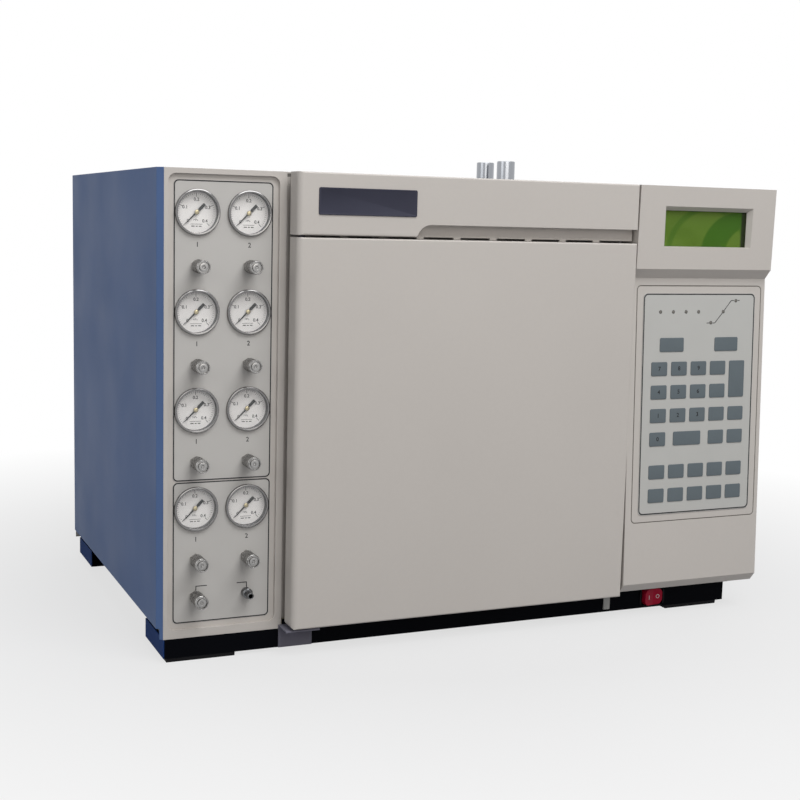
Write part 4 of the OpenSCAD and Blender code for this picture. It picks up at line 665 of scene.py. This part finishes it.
def key_caps():
    bm = bmesh.new()
    for x, z, w, h in key_spots():
        spot = (x - w / 2, z - h / 2, w, h, KEY_CORNER)
        stack(bm, [(inset_loop(*spot, by), KEY_FRONT + y) for by, y in KEY_STEPS])
    add_piece("key_caps", bm, "cabinet", "keypad_film", "key_slate", ON_FACE, smooth=True)


def key_digits():
    bm = bmesh.new()
    top = KEY_FRONT + KEY_STEPS[-1][1]
    for row, digits in DIGITS.items():
        for column, digit in enumerate(digits):
            words(bm, digit, DIGIT_SIZE, KEY_X0 + column * KEY_PITCH, ROWS[row], top, DIGIT_BOLD)
    add_piece("key_digits", bm, "cabinet", "keypad_film", "print_black", ON_FACE)


def keypad_print():
    """Border line, rings round the lamps and the bent line between three of them."""
    bm = bmesh.new()
    front, back = KEYPAD_FRONT - PRINT, KEYPAD_FRONT + SUNK
    border(bm, (0, 0, KEYPAD_W, KEYPAD_H), front, back, **KEYPAD_LINE)
    for x, z in LAMPS:
        ring(bm, *(circle_loop(x, z, r) for r in LAMP_RING), front, back)
    for a, b in GRAPH:
        bar(bm, a, b, GRAPH_LINE, front, back)
    add_piece("keypad_print", bm, "cabinet", "keypad_film", "print_dark", ON_FACE)


def keypad_lamps():
    bm = bmesh.new()
    for x, z in LAMPS:
        stack(bm, [(circle_loop(x, z, r), KEYPAD_FRONT + y) for r, y in LAMP_STEPS])
    add_piece("keypad_lamps", bm, "cabinet", "keypad_film", "lamp_dark", ON_FACE, smooth=True)


STRIP_GAP, STRIP_FRONT = 0.08, 0.25  # gap to the groove's sides, and how far the strip lies back


def groove_painted_shade():
    """Dark strip laid in the groove round the keypad: painted shade of the groove, not a paint of its own."""
    bm = bmesh.new()
    w, h = (size + 2 * GROOVE_MARGIN for size in (KEYPAD_W, KEYPAD_H))
    loops = [inset_loop(-GROOVE_MARGIN, -GROOVE_MARGIN, w, h, GROOVE_CORNER, by)
             for by in (STRIP_GAP, GROOVE_W - STRIP_GAP)]
    ring(bm, *loops, STRIP_FRONT, GROOVE_D + PRINT)
    add_piece("groove_painted_shade", bm, "cabinet", "beige_moulding", "groove_shade", ON_FACE)


# ---- Marks on the rocker ------------------------------------------------------------------------
MARK_X, MARK_H, MARK_LINE, MARK_R = 6.1, 4.4, 0.9, (2.3, 1.6)
MARK_PROUD, MARK_SUNK = 0.12, 0.1


def rocker_marks():
    """A bar and a ring that follow the two slopes of the rocker's face."""
    bm = bmesh.new()
    face = ROCKER_END + ROCKER_FALL / 2
    front, back = face - MARK_PROUD, face + MARK_SUNK
    bar(bm, (-MARK_X, -MARK_H / 2), (-MARK_X, MARK_H / 2), MARK_LINE, front, back)
    ring(bm, *(circle_loop(MARK_X, 0, r, 24) for r in MARK_R), front, back)
    for v in bm.verts:
        v.co.y -= (abs(v.co.x) - ROCKER_HALF / 2) * ROCKER_FALL / ROCKER_HALF
    turn = Matrix.Rotation(math.radians(SWITCH_TURN), 4, "Z")
    add_piece("rocker_marks", bm, "rocker", "rocker_red", "print_white",
              Matrix.Translation((SWITCH_X, SWITCH_Y, SWITCH_Z)) @ turn)


# ---- Foam strip that closes the seam between the oven's front frame and the top cover -----------
def seam_foam():
    bm = bmesh.new()
    low, high = TOP_Z - SHEET - SEAM, TOP_Z - SHEET - 0.05
    ends = [(x, (low + high) / 2) for x in (DOOR_X - DOOR_GAP, DOOR_X + DOOR_W + DOOR_GAP)]
    bar(bm, *ends, high - low, OVEN_FRAME_Y, OVEN_FRAME_Y + SHEET)
    add_piece("seam_foam", bm, "cabinet", "grey_paint", "seam_foam")


# ---- Screws on the rear panel -------------------------------------------------------------------
SCREW_EDGE, SCREW_HEIGHTS = 8.0, (40.0, 160.0, 300.0, 445.0)
SCREW_XS, SCREW_TOP, SCREW_LOW = (180.0, 329.0, 478.0), 446.0, 34.0
SCREW_R, INLET_SCREW_R = 3.2, 2.4


def screw(bm, x, y, z, radius):
    """Pan head with a round recess, its seat on the plane y and its head towards +Y."""
    head = bmesh.new()
    revolve(head, [(0, 0), (radius, 0), (radius, 0.5), (radius * 0.86, 1.3), (radius * 0.5, 1.75),
                   (0.95, 1.85), (0.7, 0.9), (0, 0.9)], 24)
    data = finished("screw", head, True)
    data.transform(Matrix.Translation((x, y, z)))
    bm.from_mesh(data)
    bpy.data.meshes.remove(data)


def case_screws():
    bm = bmesh.new()
    places = [(x, z) for z in SCREW_HEIGHTS for x in (SCREW_EDGE, CASE_W - SCREW_EDGE)]
    places += [(x, z) for x in SCREW_XS for z in (SCREW_TOP, SCREW_LOW)]
    for x, z in places:
        screw(bm, x, CASE_D, z, SCREW_R)
    for x, z in INLET_SCREWS:
        screw(bm, x, CASE_D + INLET_PROUD, z, INLET_SCREW_R)
    add_piece("case_screws", bm, "cabinet", "line_steel", smooth=True)


gauges()
panel_print()
knobs()
bare_plate()
key_caps()
key_digits()
keypad_print()
keypad_lamps()
groove_painted_shade()
rocker_marks()
seam_foam()
case_screws()

# ---- Floor, camera, light, in metres ------------------------------------------------------------
FLOOR_HALF = 9.0
FLOOR_DARK, FLOOR_PALE = (0.30, 0.30, 0.31, 1), (0.33, 0.33, 0.34, 1)
FADE_START, FADE_END = 0.35, 1.0  # the floor turns white between these distances from the middle
FADE_LOW, FADE_HIGH = 0.7, 1.0
CAMERA_PLACE = (-0.61435, -1.4071, 0.4175)
YAW, PITCH, ROLL = (math.radians(v) for v in (23.67, 7.68, 1.48))
PICTURE, FOCAL, SENSOR = 800, 1348.4, 36  # picture width and focal length in pixels, sensor in mm
ROOM_GLOW = 0.15


def floor():
    """Pale floor that keeps the object's shadow and turns white further out."""
    bm = bmesh.new()
    corners = ((-1, -1), (1, -1), (1, 1), (-1, 1))
    bm.faces.new([bm.verts.new((x * FLOOR_HALF, y * FLOOR_HALF, 0)) for x, y in corners])
    obj = bpy.data.objects.new("floor", finished("floor", bm))
    bpy.context.scene.collection.objects.link(obj)
    n = Surface("floor")
    n.colour(n.ramp(n.noise(2, 2), FLOOR_DARK, FLOOR_PALE))
    n.set(Roughness=0.95, Specular_IOR_Level=0.1)
    white = n.add("ShaderNodeEmission")
    away = n.add("ShaderNodeVectorMath", operation="LENGTH")
    n.feed(away.inputs[0], n.coords)
    fade = n.spread(away.outputs["Value"], FADE_LOW, FADE_HIGH, FADE_START, FADE_END)
    share = n.math("MULTIPLY", n.shown_plainly(), fade)
    n.feed(n.out.inputs["Surface"], n.blend(share, n.shader.outputs[0], white.outputs[0]))
    obj.data.materials.append(n.material)


def camera():
    """Camera fitted to the cabinet's edges in the photograph."""
    forward = Vector((math.sin(YAW) * math.cos(PITCH), math.cos(YAW) * math.cos(PITCH), -math.sin(PITCH)))
    level = Vector((math.cos(YAW), -math.sin(YAW), 0))
    upright = level.cross(forward)
    right = level * math.cos(ROLL) + upright * math.sin(ROLL)
    up = upright * math.cos(ROLL) - level * math.sin(ROLL)
    data = bpy.data.cameras.new("camera")
    data.sensor_width = SENSOR
    data.lens = FOCAL / PICTURE * SENSOR
    obj = bpy.data.objects.new("camera", data)
    bpy.context.scene.collection.objects.link(obj)
    turn = Matrix((right, up, -forward)).transposed().to_4x4()
    obj.matrix_world = Matrix.Translation(CAMERA_PLACE) @ turn
    bpy.context.scene.camera = obj


def softbox(name, place, target, size, watts, colour=(1, 1, 1)):
    """Rectangular lamp at a place, turned to a target."""
    light = bpy.data.lights.new(name, "AREA")
    light.shape = "RECTANGLE"
    light.size, light.size_y = size
    light.energy = watts
    light.color = colour
    obj = bpy.data.objects.new(name, light)
    bpy.context.scene.collection.objects.link(obj)
    obj.location = place
    obj.rotation_euler = (Vector(target) - Vector(place)).to_track_quat("-Z", "Y").to_euler()


def studio():
    """World that is white to look at and lights the object only weakly."""
    world = bpy.data.worlds.new("studio")
    bpy.context.scene.world = world
    n = Nodes(world, "ShaderNodeOutputWorld")
    seen = n.add("ShaderNodeBackground")
    lit = n.add("ShaderNodeBackground")
    for node, colour, strength in ((seen, (1, 1, 1, 1), 1.0), (lit, (0.96, 0.98, 1.0, 1), ROOM_GLOW)):
        n.feed(node.inputs["Color"], colour)
        n.feed(node.inputs["Strength"], strength)
    n.feed(n.out.inputs[0], n.blend(n.shown_plainly(), lit.outputs[0], seen.outputs[0]))


floor()
camera()
softbox("key", (0.3, -1.4, 2.1), (0, -0.2, 0.25), (1.8, 1.2), 43)
softbox("fill", (-0.3, -2.2, 1.0), (0, 0, 0.35), (1.6, 1.0), 10, (1.0, 0.96, 0.91))
softbox("side", (-2.2, -0.7, 1.1), (-0.3, 0, 0.2), (1.4, 1.2), 8)
softbox("top", (0.0, 0.3, 2.2), (0, 0, 0.4), (1.8, 1.4), 9)
studio()
bpy.context.scene.view_settings.view_transform = "Standard"
